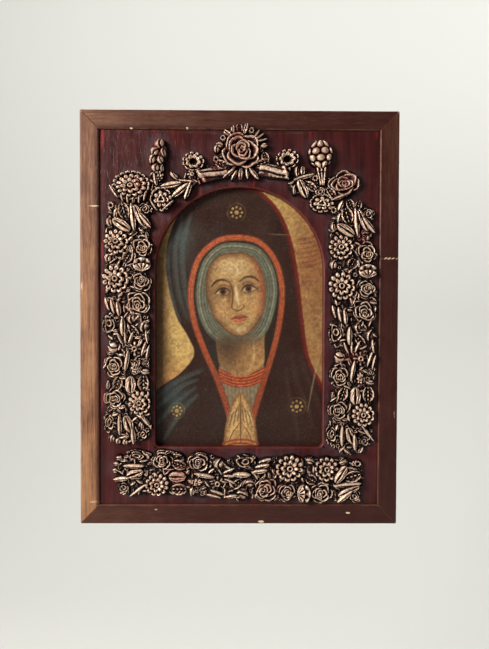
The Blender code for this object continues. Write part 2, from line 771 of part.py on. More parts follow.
def build():
    clear_scene()
    stained = finish("stained rail", (0.12, 0.045, 0.025), 0.5, 0.0)
    painted = finish("mahogany paint", (0.055, 0.012, 0.010), 0.4, 0.0)
    varnished = finish("varnished picture", (0.45, 0.26, 0.09), 0.35, 0.0)
    plain = finish("plain back", (0.30, 0.20, 0.12), 0.8, 0.0)
    bronzed = finish("bronzed casting", (0.35, 0.22, 0.14), 0.45, 0.5)

    rail("rail_top", WIDTH, HEIGHT / 2, 0, stained)
    rail("rail_right", HEIGHT, WIDTH / 2, 90, stained)
    rail("rail_bottom", WIDTH, HEIGHT / 2, 180, stained)
    rail("rail_left", HEIGHT, WIDTH / 2, 270, stained)
    window_board("panel_board", painted)

    half_picture = WINDOW_WIDTH / 2 + PICTURE_OVERLAP
    picture_top = TOP - WINDOW_SPRING_DOWN + half_picture
    picture_foot = TOP - WINDOW_FOOT_DOWN - PICTURE_OVERLAP
    picture_front = BOARD_BACK + JOINT_GAP
    plate(
        "picture_panel",
        half_picture,
        picture_top,
        picture_foot,
        picture_front,
        PICTURE_THICK,
        varnished,
    )
    half_back = WIDTH / 2 - LAND - JOINT_GAP
    back_top = TOP - LAND - JOINT_GAP
    back_foot = TOP - HEIGHT + LAND + JOINT_GAP
    back_front = -REBATE_DEPTH + JOINT_GAP
    plate("back_board", half_back, back_top, back_foot, back_front, BACK_THICK, plain)

    casting("casting_left", laid(STRIP_MOTIFS + STRIP_WEB + STRIP_HEM, lay_left), bronzed)
    casting("casting_right", laid(STRIP_MOTIFS + STRIP_WEB + STRIP_CAP, lay_right), bronzed)
    casting("casting_bottom", laid(STRIP_MOTIFS + STRIP_WEB + STRIP_HEM, lay_bottom, -90), bronzed)
    crest = casting("casting_crest", laid(CREST_MOTIFS + tuple(rose_leaves()), lay_crest), bronzed)
    notch_for_rail(crest)


build()
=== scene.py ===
# %% [markdown]
# # A hanging icon panel, dressed
# The panel is a box of four mitred battens round a red-brown board. A round-headed
# window in the board shows a varnished painting, and four flower castings are glued
# round the window. The solid model gives every piece its place and size, so this script
# starts from that model and adds what the eye sees: fine relief, paint, wear and light.

# %% Load the solid model
import math

import bmesh
import bpy
import numpy as np
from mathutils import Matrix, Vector
from mathutils.geometry import delaunay_2d_cdt


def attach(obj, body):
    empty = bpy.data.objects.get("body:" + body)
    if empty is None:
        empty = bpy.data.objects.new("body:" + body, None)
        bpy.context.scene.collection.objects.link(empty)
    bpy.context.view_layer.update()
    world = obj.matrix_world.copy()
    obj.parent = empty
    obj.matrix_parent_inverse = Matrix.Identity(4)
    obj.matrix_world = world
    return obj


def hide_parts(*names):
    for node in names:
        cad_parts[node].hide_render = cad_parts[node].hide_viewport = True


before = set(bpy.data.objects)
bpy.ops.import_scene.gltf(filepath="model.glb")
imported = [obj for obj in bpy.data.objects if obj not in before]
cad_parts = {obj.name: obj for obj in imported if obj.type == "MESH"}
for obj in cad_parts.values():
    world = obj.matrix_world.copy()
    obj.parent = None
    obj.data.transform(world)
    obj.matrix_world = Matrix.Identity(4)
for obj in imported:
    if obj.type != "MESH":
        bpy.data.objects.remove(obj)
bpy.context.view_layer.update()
MM = 0.001

# %% [markdown]
# ## The view
# The photograph was taken with a phone held level with the middle of the panel, less than
# half a metre from it. A camera placed there with the same wide lens gives the frame the
# same slight taper. It could be found by eye, but solving for the four outer corners of
# the frame is exact, and its result is written here as a place and three angles.

# %% Camera
SENSOR = 24.0
LENS = 20.709
camera_data = bpy.data.cameras.new("view")
camera_data.sensor_width = SENSOR
camera_data.lens = LENS
camera = bpy.data.objects.new("view", camera_data)
camera.location = (0.0004, -0.3817, -0.1231)
camera.rotation_euler = [math.radians(angle) for angle in (88.829, -0.193, -0.455)]
bpy.context.scene.collection.objects.link(camera)
bpy.context.scene.camera = camera

# %% [markdown]
# ## Floor and light
# A plain pale sweep stands well behind and below the panel, so that nothing but the panel
# has any character. Daylight from a window on the left lights the real one: that is one
# large soft lamp on the left and a weak fill from the right and from behind.

# %% Sweep, lamps and sky
SWEEP_DEPTH = 1.1
SWEEP_FLOOR = -0.62
SWEEP_TOP = 1.6
SWEEP_RADIUS = 0.5
SWEEP_HALF = 2.6
SWEEP_STEPS = 16


def plain_material(name, colour, roughness):
    material = bpy.data.materials.new(name)
    material.use_nodes = True
    shader = material.node_tree.nodes["Principled BSDF"]
    shader.inputs["Base Color"].default_value = (*colour, 1)
    shader.inputs["Roughness"].default_value = roughness
    return material


def sweep_profile():
    """Floor, curve and upright of the sweep, as (y, z) points from front to top."""
    turn = np.linspace(-math.pi / 2, 0, SWEEP_STEPS)
    curve = [
        (
            SWEEP_DEPTH - SWEEP_RADIUS * (1 - math.cos(a)),
            SWEEP_FLOOR + SWEEP_RADIUS * (1 + math.sin(a)),
        )
        for a in turn
    ]
    return [(-2.5, SWEEP_FLOOR)] + curve + [(SWEEP_DEPTH, SWEEP_TOP)]


def make_sweep():
    bm = bmesh.new()
    rows = [
        [bm.verts.new((side * SWEEP_HALF, y, z)) for side in (-1, 1)]
        for y, z in sweep_profile()
    ]
    for low, high in zip(rows, rows[1:]):
        bm.faces.new((low[0], low[1], high[1], high[0]))
    mesh = bpy.data.meshes.new("sweep")
    bm.to_mesh(mesh)
    bm.free()
    mesh.shade_smooth()
    mesh.materials.append(plain_material("pale sweep", (0.74, 0.74, 0.70), 0.9))
    sweep = bpy.data.objects.new("sweep", mesh)
    bpy.context.scene.collection.objects.link(sweep)


def make_lamp(name, place, target, size, power, colour):
    data = bpy.data.lights.new(name, "AREA")
    data.shape = "RECTANGLE"
    data.size, data.size_y = size
    data.energy = power
    data.color = colour
    lamp = bpy.data.objects.new(name, data)
    lamp.location = place
    lamp.rotation_euler = (lamp.location - Vector(target)).to_track_quat("Z", "Y").to_euler()
    bpy.context.scene.collection.objects.link(lamp)


make_sweep()
MIDDLE = (0.0, -0.02, -0.126)
make_lamp("window light", (-0.68, -0.55, 0.16), MIDDLE, (0.34, 0.46), 13, (1.0, 0.96, 0.90))
make_lamp("room fill", (0.9, -1.1, 0.1), MIDDLE, (1.2, 1.2), 1.0, (0.92, 0.95, 1.0))
make_lamp("back fill", (1.5, 0.5, 0.8), MIDDLE, (0.8, 0.8), 12, (1.0, 1.0, 1.0))
make_lamp("sweep light", (0.0, 0.12, 1.1), (0.0, 1.1, 0.0), (2.4, 0.5), 14, (1.0, 1.0, 1.0))

world = bpy.data.worlds.new("room")
world.use_nodes = True
world.node_tree.nodes["Background"].inputs["Color"].default_value = (0.80, 0.85, 0.92, 1)
world.node_tree.nodes["Background"].inputs["Strength"].default_value = 0.10
bpy.context.scene.world = world
bpy.context.scene.view_settings.view_transform = "Standard"

# %% [markdown]
# ## Small helpers for meshes and for noise
# Every piece below is computed in millimetres in the panel's own plane, x to the right
# and z up, and y is negative towards the viewer. One helper turns such arrays into a
# named object. Hand-made surfaces are never even, so a second helper gives soft random
# unevenness: random numbers on a coarse grid, blended smoothly between its points.

# %% Mesh and noise helpers


def make_piece(name, points, faces, material, node, values=None, colours=None, crease=0):
    """Builds a mesh from millimetres, dresses it and lets it stand for its solid."""
    mesh = bpy.data.meshes.new(name)
    mesh.from_pydata((np.asarray(points) * MM).tolist(), [], [list(f) for f in faces])
    mesh.materials.append(material)
    mesh.shade_smooth()
    if crease:
        mesh.set_sharp_from_angle(angle=math.radians(crease))
    for key, data in (values or {}).items():
        layer = mesh.attributes.new(key, "FLOAT", "POINT")
        layer.data.foreach_set("value", np.asarray(data, np.float32))
    if colours is not None:
        layer = mesh.attributes.new("paint", "FLOAT_COLOR", "POINT")
        rgba = np.c_[colours, np.ones(len(colours))]
        layer.data.foreach_set("color", rgba.astype(np.float32).ravel())
    piece = bpy.data.objects.new(name, mesh)
    bpy.context.scene.collection.objects.link(piece)
    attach(piece, "root")
    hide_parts(node)
    print(name, "has", len(mesh.vertices), "points")
    return piece


def soft_noise(x, z, scale, seed):
    """Smooth random heights from -1 to 1 whose bumps are about scale millimetres wide."""
    table = np.random.default_rng(seed).uniform(-1, 1, (64, 64))
    gx, gz = x / scale, z / scale
    ix, iz = np.floor(gx).astype(int), np.floor(gz).astype(int)
    fx, fz = gx - ix, gz - iz
    fx, fz = fx * fx * (3 - 2 * fx), fz * fz * (3 - 2 * fz)
    corner = [table[(ix + i) % 64, (iz + j) % 64] for i, j in ((0, 0), (1, 0), (0, 1), (1, 1))]
    low = corner[0] * (1 - fx) + corner[1] * fx
    high = corner[2] * (1 - fx) + corner[3] * fx
    return low * (1 - fz) + high * fz


def smooth_step(value, start, end):
    t = np.clip((value - start) / (end - start), 0, 1)
    return t * t * (3 - 2 * t)


# %% [markdown]
# ## Flowers as formulas
# The castings were poured in a rubber mould taken from a carved or modelled original, so
# each one is a sheet of relief with a flat back. They could be sculpted by hand, or
# built petal by petal as separate meshes. A height formula for each kind of flower is
# better here: it gives one clean skin like the real pour, and the same few formulas make
# every rose and leaf. Each formula works on a unit disc, with u across and v down, and
# answers with a height from 0 to 1.

# %% Round flowers


def wobble(seed, low, high):
    """A repeatable random number for petal number seed."""
    return low + (high - low) * (math.sin(seed * 12.9898) * 43758.5453 % 1.0)


def lay_petal(height, u, v, angle, offset, size, level, lip, seed):
    """Lays a cupped petal over what is there: low at its heel, with a thin proud rim."""
    size = size * wobble(seed, 0.92, 1.06)
    du, dv = u - offset * math.cos(angle), v - offset * math.sin(angle)
    bearing = np.arctan2(dv, du) - angle
    edge = size * (1 + 0.05 * np.cos(3 * bearing + seed) + 0.04 * np.cos(5 * bearing - seed))
    out = np.hypot(du, dv) / edge
    facing = 0.5 + 0.5 * np.cos(bearing)
    cup = level + lip * out**2.2 * (0.25 + 0.75 * facing)
    cup -= 0.8 * lip * np.clip((out - 0.88) / 0.12, 0, 1) ** 2
    return np.where(out < 1, cup, height)


# Petals of a rose from its outermost tier inwards: count, offset, size, level, lip
ROSE_TIERS = (
    (4, 0.44, 0.56, 0.12, 0.48),
    (3, 0.30, 0.50, 0.22, 0.50),
    (3, 0.19, 0.36, 0.34, 0.50),
    (2, 0.10, 0.25, 0.44, 0.48),
    (2, 0.05, 0.13, 0.54, 0.46),
)
BUD_TIERS = (
    (3, 0.42, 0.58, 0.12, 0.50),
    (3, 0.24, 0.44, 0.26, 0.54),
    (2, 0.10, 0.26, 0.44, 0.54),
)


def rose(u, v, heart=(0.0, 0.0), start=0.0, tiers=ROSE_TIERS):
    """Tiers of cupped petals, each tier laid over the one outside it."""
    height = np.full(u.shape, 0.12)
    for tier, (count, offset, size, level, lip) in enumerate(tiers):
        share = tier / (len(tiers) - 1)
        hu, hv = u - heart[0] * share, v - heart[1] * share
        for i in range(count):
            seed = 7 * tier + i + 10 * start
            angle = start + 1.1 * tier + (i + wobble(seed, -0.12, 0.12)) * 2 * math.pi / count
            height = lay_petal(height, hu, hv, angle, offset, size, level, lip, seed)
    return height


def loops(u, v, count, radius, length, level, rise, start, seed):
    """A ring of small cupped petals that touch: each has a proud rim and a dark hollow."""
    r, a = np.hypot(u, v), np.arctan2(v, u) - start
    step = 2 * math.pi / count
    number = np.round(a / step)
    vary = np.sin((number % count + seed) * 12.9898)
    off = a - step * number
    width = 0.52 * step * radius * (1 + 0.12 * vary)
    out = np.hypot((r - radius * (1 + 0.06 * vary)) / length, r * np.sin(off) / width)
    dome = np.sqrt(np.clip(1 - out * out, 0, 1))
    inward = np.exp(-((((r - radius) / length + 0.25) ** 2 + (r * np.sin(off) / width) ** 2) / 0.16))
    return np.where(out < 1, level + rise * (dome - (0.55 + 0.30 * vary) * inward), 0)


DAHLIA_RINGS = ((12, 0.79, 0.24, 0.16, 0.60), (8, 0.43, 0.22, 0.32, 0.64))


def dahlia(u, v, start=0.0, eye=0.16, rings=DAHLIA_RINGS):
    """A ring-shaped eye inside rings of cupped petals: count, radius, length, level, rise."""
    r = np.hypot(u, v)
    height = np.where(r < 1, 0.10, 0.0)
    for number, (count, radius, length, level, rise) in enumerate(rings):
        petals = loops(u, v, count, radius, length, level, rise, start + 0.4 * number, 3.0 + number)
        height = np.maximum(height, petals)
    ring = 0.30 + 0.62 * np.exp(-(((r - eye) / 0.07) ** 2))
    return np.where(r < eye + 0.10, ring, height)


def wreath(u, v, start=0.0):
    """A ring of beads and a ring of small petals round a deep hole."""
    r = np.hypot(u, v)
    height = np.where(r < 1, 0.12, 0.0)
    height = np.maximum(height, loops(u, v, 11, 0.83, 0.22, 0.20, 0.56, start, 1.0))
    beads = loops(u, v, 8, 0.50, 0.20, 0.38, 0.62, start + 0.3, 2.0)
    return np.maximum(height, beads)


def daisy(u, v):
    """A ring-shaped eye with narrow petals round it."""
    r, a = np.hypot(u, v), np.arctan2(v, u)
    eye = 0.45 + 0.55 * np.exp(-(((r - 0.26) / 0.10) ** 2))
    petals = 0.20 + 0.50 * np.abs(np.cos(4 * a)) ** 0.7 * (1 - 0.3 * r)
    return np.where(r < 0.42, eye, petals)


def berries(u, v):
    """Knobbly berries packed in a heap, some of them hollow."""
    height = np.full(u.shape, 0.16)
    rings = ((11, 0.84, 0.21, 0.20, 0.0), (7, 0.50, 0.22, 0.34, 0.3), (3, 0.20, 0.22, 0.46, 0.7))
    for count, radius, length, level, start in rings:
        height = np.maximum(height, loops(u, v, count, radius, length, level, 0.54, start, count))
    return height


# %% [markdown]
# Leaves, buds and stalks are long forms. Their formulas use the distance from the middle
# line: a dome or two raised blades, with the veins as a fine wave that runs out at a
# slant. The right finial is a bulb of overlapping scales on a ribbed stalk.

# %% Long forms


def bud(u, v):
    """A closed bud: a dome whose outer petal wraps over it in a curved rim."""
    dome = np.sqrt(np.clip(1 - u * u - v * v, 0, 1))
    wrap = u + 0.30 * v - 0.45 * (v * v) + 0.05
    rim = 0.20 * np.exp(-(((wrap + 0.16) / 0.12) ** 2)) - 0.34 * np.exp(-(((wrap - 0.10) / 0.12) ** 2))
    return 0.26 + 0.62 * dome + rim * (np.hypot(u, v) < 0.9)


def leaf(u, v):
    """Two cupped blades beside a thin midrib, with slanting veins and a raised rim."""
    half = np.clip(1 - v * v, 0.02, 1) ** 0.75
    s = np.clip(np.abs(u) / half, 0, 1)
    blades = 0.30 + 0.26 * s + 0.14 * (1 - np.abs(v))
    veins = 0.11 * np.sin(2 * math.pi * (2.3 * v - 1.5 * s)) * (1 - s**3)
    rim = 0.30 * np.exp(-(((s - 0.82) / 0.13) ** 2))
    rib = 0.22 * np.exp(-((u / 0.09) ** 2)) - 0.10 * np.exp(-(((np.abs(u) - 0.22) / 0.09) ** 2))
    return blades + veins + rim + rib


def strand(u, v):
    """A stalk or blade with one ridge and a groove beside it."""
    half = np.clip(1 - v * v, 0.02, 1) ** 0.55
    s = u / half
    dome = np.sqrt(np.clip(1 - s * s, 0, 1))
    groove = 0.40 * np.exp(-(((s - 0.30) / 0.17) ** 2))
    return 0.24 + (0.72 - 0.10 * v) * dome - groove


def tulip(u, v):
    """Two large petals that part at the tip, with a fine grain along them."""
    half = np.clip(1 - v * v, 0.02, 1) ** 0.45
    s = u / half
    lobes = np.sin(math.pi * np.clip(np.abs(s) * 0.8 + 0.12, 0, 1))
    grain = 0.07 * np.sin(2 * math.pi * (2.6 * s + 0.8 * v))
    part = 0.45 * np.exp(-((u / 0.10) ** 2)) * smooth_step(v, -0.7, 0.4)
    shade = 0.24 * np.exp(-(((s - 0.55) / 0.16) ** 2))
    return 0.36 + 0.56 * lobes + grain - part - shade


def fan(u, v, ribs=7):
    """A flower seen from the side: two tiers of ribs that spread from its foot."""
    foot = 0.9
    swing, out = np.arctan2(u, foot - v), np.hypot(u, foot - v) / 1.9
    wave = np.abs(np.cos(ribs * swing))
    upper = 0.34 + 0.45 * out + 0.20 * wave
    lower = np.where(out < 0.55, 0.62 + 0.40 * out + 0.22 * np.abs(np.sin(ribs * swing)), 0)
    return np.maximum(upper, lower)


def ribbon(u, v):
    """A loose ribbon end: smooth, with two soft pleats, and a folded lip at its end."""
    bend = u + 0.16 * np.sin(2.2 * v)
    pleats = 0.66 + 0.20 * np.cos(0.8 * math.pi * bend) - 0.24 * np.exp(-(((bend + 0.34) / 0.12) ** 2))
    pleats -= 0.16 * np.exp(-(((bend - 0.46) / 0.10) ** 2))
    end = v - 0.70 + 0.20 * u
    lip = 0.26 * np.exp(-((end / 0.12) ** 2)) - 0.40 * np.exp(-(((end - 0.22) / 0.10) ** 2))
    return pleats + lip + 0.14 * v


BULB_MIDDLE, BULB_REACH = -0.36, 0.62


def stalk_half(v):
    """Half the width of the stalk, which tapers downwards."""
    return 0.46 - 0.24 * smooth_step(v, 0.1, 1.0)


def scaly_bulb(u, v, rows, columns, lumpy):
    """Rows of round scales on a bulb, each row set over the gaps of the next."""
    t = (v - BULB_MIDDLE) / BULB_REACH
    half = np.sqrt(np.clip(1 - t * t, 0.02, 1))
    row = (t + 1) / 2 * rows
    line = np.floor(row)
    column = np.arcsin(np.clip(u / half, -1, 1)) / math.pi * columns + 0.5 * (line % 2)
    column += lumpy * 0.25 * np.sin(5 * v + 3 * u)
    du, dv = column - np.round(column), row - line - 0.5
    out = np.hypot(du / 0.50, dv / 0.54)
    scale = np.sqrt(np.clip(1 - out * out, 0, 1)) - 0.30 * lumpy * np.exp(-((out / 0.3) ** 2))
    round_off = np.sqrt(np.clip(1 - (u / np.maximum(half, 0.3)) ** 2, 0, 1))
    return (0.20 + 0.24 * round_off) + 0.56 * scale * (0.45 + 0.55 * round_off)


def finial(u, v, rows=4, columns=4, lumpy=0.0):
    """A scaly bulb on a ribbed, tapering stalk."""
    bulb = np.hypot(u, (v - BULB_MIDDLE) / BULB_REACH) < 1
    ribs = np.abs(np.cos(1.5 * math.pi * u / stalk_half(v)))
    stalk = 0.40 + 0.22 * ribs + 0.10 * (v < BULB_MIDDLE + BULB_REACH + 0.12)
    return np.where(bulb, scaly_bulb(u, v, rows, columns, lumpy), stalk)


def web(u, v):
    """The thin skin of the pour between the flowers."""
    return np.full(u.shape, 1.0)


FORMULAS = {
    "rose": rose,
    "dahlia": dahlia,
    "wreath": wreath,
    "daisy": daisy,
    "berries": berries,
    "bud": bud,
    "leaf": leaf,
    "strand": strand,
    "tulip": tulip,
    "fan": fan,
    "ribbon": ribbon,
    "finial": finial,
    "web": web,
}
print("flower formulas:", ", ".join(FORMULAS))

# %% [markdown]
# ## Where each flower sits
# Three of the four castings came from one mould, a strip of roses, dahlias and leaves.
# The strip is laid out once, flower by flower, and three placing rules put it at the
# left, at the right and along the foot. They are the rules of the solid model, so the
# fine relief sits exactly on the coarse one.

# %% The strip mould: kind, across, down, half width, half length, turn, rise, details
TOP = 3.5
STRIP_LENGTH = 154.0
STRIP = (
    ("wreath", 4.8, 3.0, 2.6, 3.2, 0, 3.8),
    ("bud", 8.0, 8.0, 2.0, 4.2, -8, 4.0),
    ("leaf", 13.0, 6.6, 3.9, 6.0, 16, 4.8),
    ("strand", 18.6, 10.4, 2.2, 9.0, 6, 4.6),
    ("tulip", 22.8, 9.6, 2.9, 7.4, 26, 5.0),
    ("strand", 26.2, 12.4, 2.2, 6.2, 40, 5.0),
    ("rose", 26.2, 5.4, 4.6, 4.6, 0, 5.8),
    ("bud", 3.8, 13.6, 2.4, 3.3, 20, 4.4),
    ("tulip", 11.6, 15.4, 3.4, 6.4, 58, 5.4),
    ("bud", 2.6, 18.6, 1.8, 2.4, 0, 3.0),
    ("dahlia", 8.1, 25.7, 8.0, 8.0, 0, 6.2),
    ("rose", 23.9, 28.9, 7.1, 7.6, 10, 6.4, {"heart": (0.02, 0.22), "start": 0.5}),
    ("leaf", 15.2, 35.6, 3.6, 4.0, -30, 3.8),
    ("bud", 2.8, 36.2, 3.0, 3.2, 0, 4.2),
    ("fan", 24.4, 40.2, 6.2, 4.6, 0, 5.0),
    ("dahlia", 7.6, 49.2, 8.6, 9.2, 20, 6.4),
    ("rose", 23.2, 51.2, 6.7, 7.2, 60, 6.0, {"heart": (0.15, 0.0)}),
    ("rose", 22.0, 64.2, 8.6, 7.8, 130, 6.6, {"heart": (-0.16, -0.20)}),
    ("strand", 2.8, 65.0, 2.0, 4.4, 16, 4.4),
    ("strand", 6.2, 66.6, 2.0, 4.8, 12, 4.8),
    ("strand", 9.6, 68.2, 2.0, 4.8, 8, 4.8),
    ("rose", 3.9, 78.6, 4.9, 9.0, 6, 5.6, {"heart": (0.0, -0.16), "start": 1.1}),
    ("strand", 12.3, 79.6, 2.2, 5.8, 0, 5.4),
    ("bud", 17.2, 74.6, 3.8, 3.4, 20, 3.6),
    ("leaf", 19.0, 82.4, 2.8, 5.0, 40, 4.2),
    ("bud", 25.0, 79.0, 4.3, 4.2, 0, 3.8),
    ("strand", 27.4, 86.0, 1.6, 4.6, 8, 4.2),
    ("strand", 10.6, 87.0, 1.4, 4.2, 24, 4.0),
    ("strand", 14.0, 86.6, 1.4, 4.0, 0, 4.2),
    ("strand", 17.4, 86.4, 1.4, 4.0, -22, 4.2),
    ("daisy", 19.6, 93.4, 4.8, 4.8, 0, 5.0),
    ("bud", 6.0, 93.0, 4.2, 3.6, 90, 4.8),
    ("strand", 25.4, 93.6, 1.5, 4.8, -18, 4.6),
    ("strand", 28.0, 95.6, 1.4, 5.0, -12, 4.4),
    ("rose", 6.8, 103.8, 7.0, 8.2, 0, 6.4, {"heart": (-0.05, 0.14), "start": 0.2}),
    ("strand", 14.9, 101.0, 1.8, 6.8, -10, 5.0),
    ("berries", 19.6, 105.2, 3.2, 5.4, 0, 4.8),
    ("rose", 26.2, 101.8, 3.5, 3.5, 30, 4.8),
    ("bud", 26.2, 108.0, 2.1, 3.4, 90, 4.2),
    ("leaf", 9.2, 115.2, 3.4, 5.0, -20, 5.0),
    ("bud", 3.0, 116.2, 1.9, 3.4, 0, 3.6),
    ("tulip", 17.1, 116.2, 3.8, 5.4, 0, 5.2),
    ("leaf", 25.2, 115.2, 3.9, 5.6, 0, 5.0),
    ("rose", 7.0, 124.8, 7.3, 7.2, 40, 6.4, {"start": 0.7}),
    ("dahlia", 22.6, 127.6, 7.4, 7.8, 10, 6.2),
    ("rose", 3.9, 140.6, 4.3, 7.2, 0, 5.2, {"heart": (0.0, -0.1)}),
    ("strand", 10.4, 141.6, 1.8, 6.8, 0, 5.0),
    ("tulip", 15.6, 141.0, 3.5, 5.4, 20, 4.8),
    ("strand", 18.8, 149.0, 2.0, 5.2, 4, 4.8),
    ("strand", 25.2, 137.8, 1.3, 5.2, 34, 4.2),
    ("strand", 28.0, 140.6, 1.3, 5.0, 34, 4.0),
    ("rose", 24.6, 147.6, 4.6, 4.6, 0, 4.8),
)
STRIP_HEM = (
    ("bud", 5.4, 150.4, 2.3, 2.6, 0, 3.8),
    ("bud", 9.2, 152.0, 2.3, 2.4, 0, 3.8),
    ("bud", 13.6, 152.4, 2.5, 2.4, 0, 3.8),
)
STRIP_CAP = (
    ("strand", 9.2, 0.6, 2.0, 3.4, -24, 4.4),
    ("leaf", 15.2, -0.2, 2.8, 3.8, 20, 4.6),
    ("leaf", 20.4, 0.2, 2.4, 3.8, -14, 4.4),
)
STRIP_WEB = tuple(
    ("web", 15.2, down, 14.4, 15.0, 0, 1.3) for down in (15.8, 36.0, 58.0, 80.0, 102.0, 122.0, 138.0)
)
print(len(STRIP), "flowers and leaves in the strip")

# %% The crest mould, laid out from the panel's top middle
WIDE_RINGS = (
    (19, 0.86, 0.17, 0.14, 0.56), (14, 0.61, 0.18, 0.28, 0.56), (8, 0.36, 0.17, 0.40, 0.56),
)
CREST = (
    ("rose", 1.2, 25.8, 12.8, 12.0, 0, 9.4, {"start": 0.9}),
    ("bud", -14.6, 24.4, 2.4, 3.0, 0, 4.6),
    ("wreath", -14.8, 31.0, 2.4, 2.8, 0, 4.4),
    ("leaf", -11.0, 34.6, 2.9, 5.2, 66, 5.2),
    ("leaf", 15.8, 29.6, 2.6, 3.8, 20, 4.6),
    ("leaf", 14.2, 33.6, 2.8, 5.4, -66, 5.2),
    ("strand", -7.0, 40.0, 1.7, 4.8, -50, 5.0),
    ("strand", -3.6, 41.2, 1.5, 3.8, -30, 4.8),
    ("tulip", 0.6, 40.4, 1.9, 3.8, -6, 4.8),
    ("strand", 4.6, 40.0, 1.5, 3.6, 8, 4.6),
    ("strand", 8.8, 40.0, 1.8, 4.6, 40, 4.8),
    ("ribbon", -17.0, 40.4, 4.8, 9.8, -76, 6.2),
    ("ribbon", 21.6, 38.4, 4.7, 9.8, 82, 6.2),
    ("wreath", -28.9, 32.4, 7.2, 6.2, 0, 5.8),
    ("wreath", 29.6, 30.6, 7.6, 6.4, 15, 5.8),
    ("daisy", -29.6, 40.4, 3.6, 3.6, 0, 5.2),
    ("bud", -40.7, 41.7, 2.1, 4.4, 48, 4.6),
    ("strand", -33.3, 44.8, 1.3, 5.4, -95, 4.6),
    ("finial", -51.0, 33.0, 5.8, 14.2, -8, 4.2, {"rows": 5, "columns": 3, "lumpy": 1.0}),
    ("bud", -50.0, 21.8, 3.8, 3.4, 20, 6.0),
    ("bud", -52.8, 26.4, 3.2, 3.2, -30, 6.2),
    ("bud", -47.6, 27.0, 2.2, 3.4, 20, 5.4),
    ("bud", -54.4, 31.2, 2.6, 3.6, -10, 5.8),
    ("bud", -49.4, 31.8, 2.4, 3.0, 30, 6.0),
    ("bud", -52.4, 36.6, 3.2, 2.8, 10, 6.0),
    ("bud", -48.2, 36.8, 1.7, 2.9, 0, 5.2),
    ("berries", -51.6, 40.8, 4.6, 4.8, 0, 4.8),
    ("strand", -52.4, 43.8, 1.6, 4.0, 10, 5.4),
    ("strand", -42.6, 47.0, 2.3, 6.8, -81, 5.4),
    ("strand", -37.0, 50.6, 2.5, 6.8, -51, 5.4),
    ("strand", -32.2, 50.8, 2.1, 6.0, -20, 5.0),
    ("berries", -48.8, 56.0, 7.2, 8.0, 10, 5.8),
    ("strand", -44.5, 60.0, 1.2, 5.4, -50, 5.4),
    ("strand", -53.5, 59.6, 1.2, 4.4, 32, 5.4),
    ("dahlia", -67.9, 47.6, 12.4, 9.4, 6, 6.4, {"eye": 0.1, "rings": WIDE_RINGS}),
    ("rose", -64.0, 45.8, 4.7, 4.4, 0, 7.4),
    ("strand", -78.0, 51.4, 1.6, 5.0, 33, 5.4),
    ("strand", -73.0, 55.2, 1.2, 2.8, 12, 5.2),
    ("strand", -69.6, 56.2, 1.2, 2.8, 4, 5.2),
    ("bud", -66.0, 56.6, 1.4, 2.6, 0, 5.2),
    ("strand", -62.4, 56.2, 1.2, 2.8, -6, 5.2),
    ("strand", -59.0, 54.8, 1.2, 2.8, -14, 5.2),
    ("bud", 35.6, 38.6, 2.4, 4.2, 10, 4.4),
    ("tulip", 39.3, 38.0, 2.2, 2.8, 0, 4.4),
    ("strand", 39.8, 42.0, 1.6, 7.0, -74, 5.2),
    ("wreath", 47.0, 42.4, 2.6, 2.8, 0, 4.8),
    ("leaf", 44.6, 41.0, 1.9, 3.8, 40, 4.2),
    ("tulip", 39.2, 49.2, 3.3, 6.2, 25, 5.4),
    ("bud", 34.0, 49.6, 1.7, 4.0, 0, 4.4),
    ("finial", 50.4, 33.0, 8.0, 14.0, 4, 7.0),
    ("leaf", 44.0, 47.6, 2.7, 5.2, 56, 5.2),
    ("rose", 50.3, 51.0, 4.9, 4.3, 0, 6.0),
    ("berries", 51.2, 58.0, 8.0, 6.2, 0, 5.4),
    ("rose", 64.9, 45.9, 10.6, 8.7, 20, 6.8, {"start": 0.4}),
    ("leaf", 57.2, 51.6, 2.4, 5.2, 36, 4.6),
    ("strand", 62.0, 54.4, 1.6, 4.2, -70, 4.8),
)
CREST_WEB = (
    ("web", -54.0, 47.0, 5.4, 5.0, 0, 1.3),
    ("web", -40.0, 48.0, 7.0, 4.4, 0, 1.3),
    ("web", -31.0, 43.4, 5.0, 6.0, 0, 1.3),
    ("web", -17.0, 39.0, 12.0, 4.8, 8, 1.3),
    ("web", 20.0, 38.0, 13.0, 5.0, -6, 1.3),
    ("web", 36.0, 45.0, 6.0, 7.0, 0, 1.3),
    ("web", 47.0, 47.0, 7.0, 6.0, 0, 1.3),
    ("web", 57.0, 46.6, 5.4, 4.4, 0, 1.3),
    ("web", 1.2, 25.8, 14.0, 13.4, 0, 1.3),
    ("web", 1.2, 38.6, 10.0, 3.0, 0, 1.3),
)
# Leaf tips and curled buds round the rose: kind, angle from the top, half sizes, turn
ROSE_CURLS = (
    ("bud", -74, 2.3, 2.6, 20), ("wreath", -55, 2.5, 2.5, 0), ("tulip", -39, 1.9, 2.9, 14),
    ("bud", -22, 2.0, 2.7, -10), ("leaf", -6, 2.1, 3.6, 0), ("tulip", 9, 1.8, 3.3, -8),
    ("wreath", 25, 2.3, 2.3, 0), ("strand", 40, 1.2, 3.6, 6), ("strand", 50, 1.2, 4.0, -4),
    ("strand", 61, 1.2, 3.8, -12), ("bud", 76, 2.0, 2.8, 0),
)


def rose_leaves():
    """The curls, set round the upper half of the crest's rose."""
    x, down, half_width, half_length = CREST[0][1:5]
    for kind, angle, wide, long, lean in ROSE_CURLS:
        across = x + (half_width + 1.5) * math.sin(math.radians(angle))
        up = (half_length + 1.8) * math.cos(math.radians(angle))
        yield (kind, across, down - up, wide, long, 180 - angle + lean, 4.6)


print(len(CREST) + len(ROSE_CURLS), "forms in the crest")

# %% Placing rules


def lay_left(across, down):
    return -85.1 + across, 56.7 + 0.99 * down


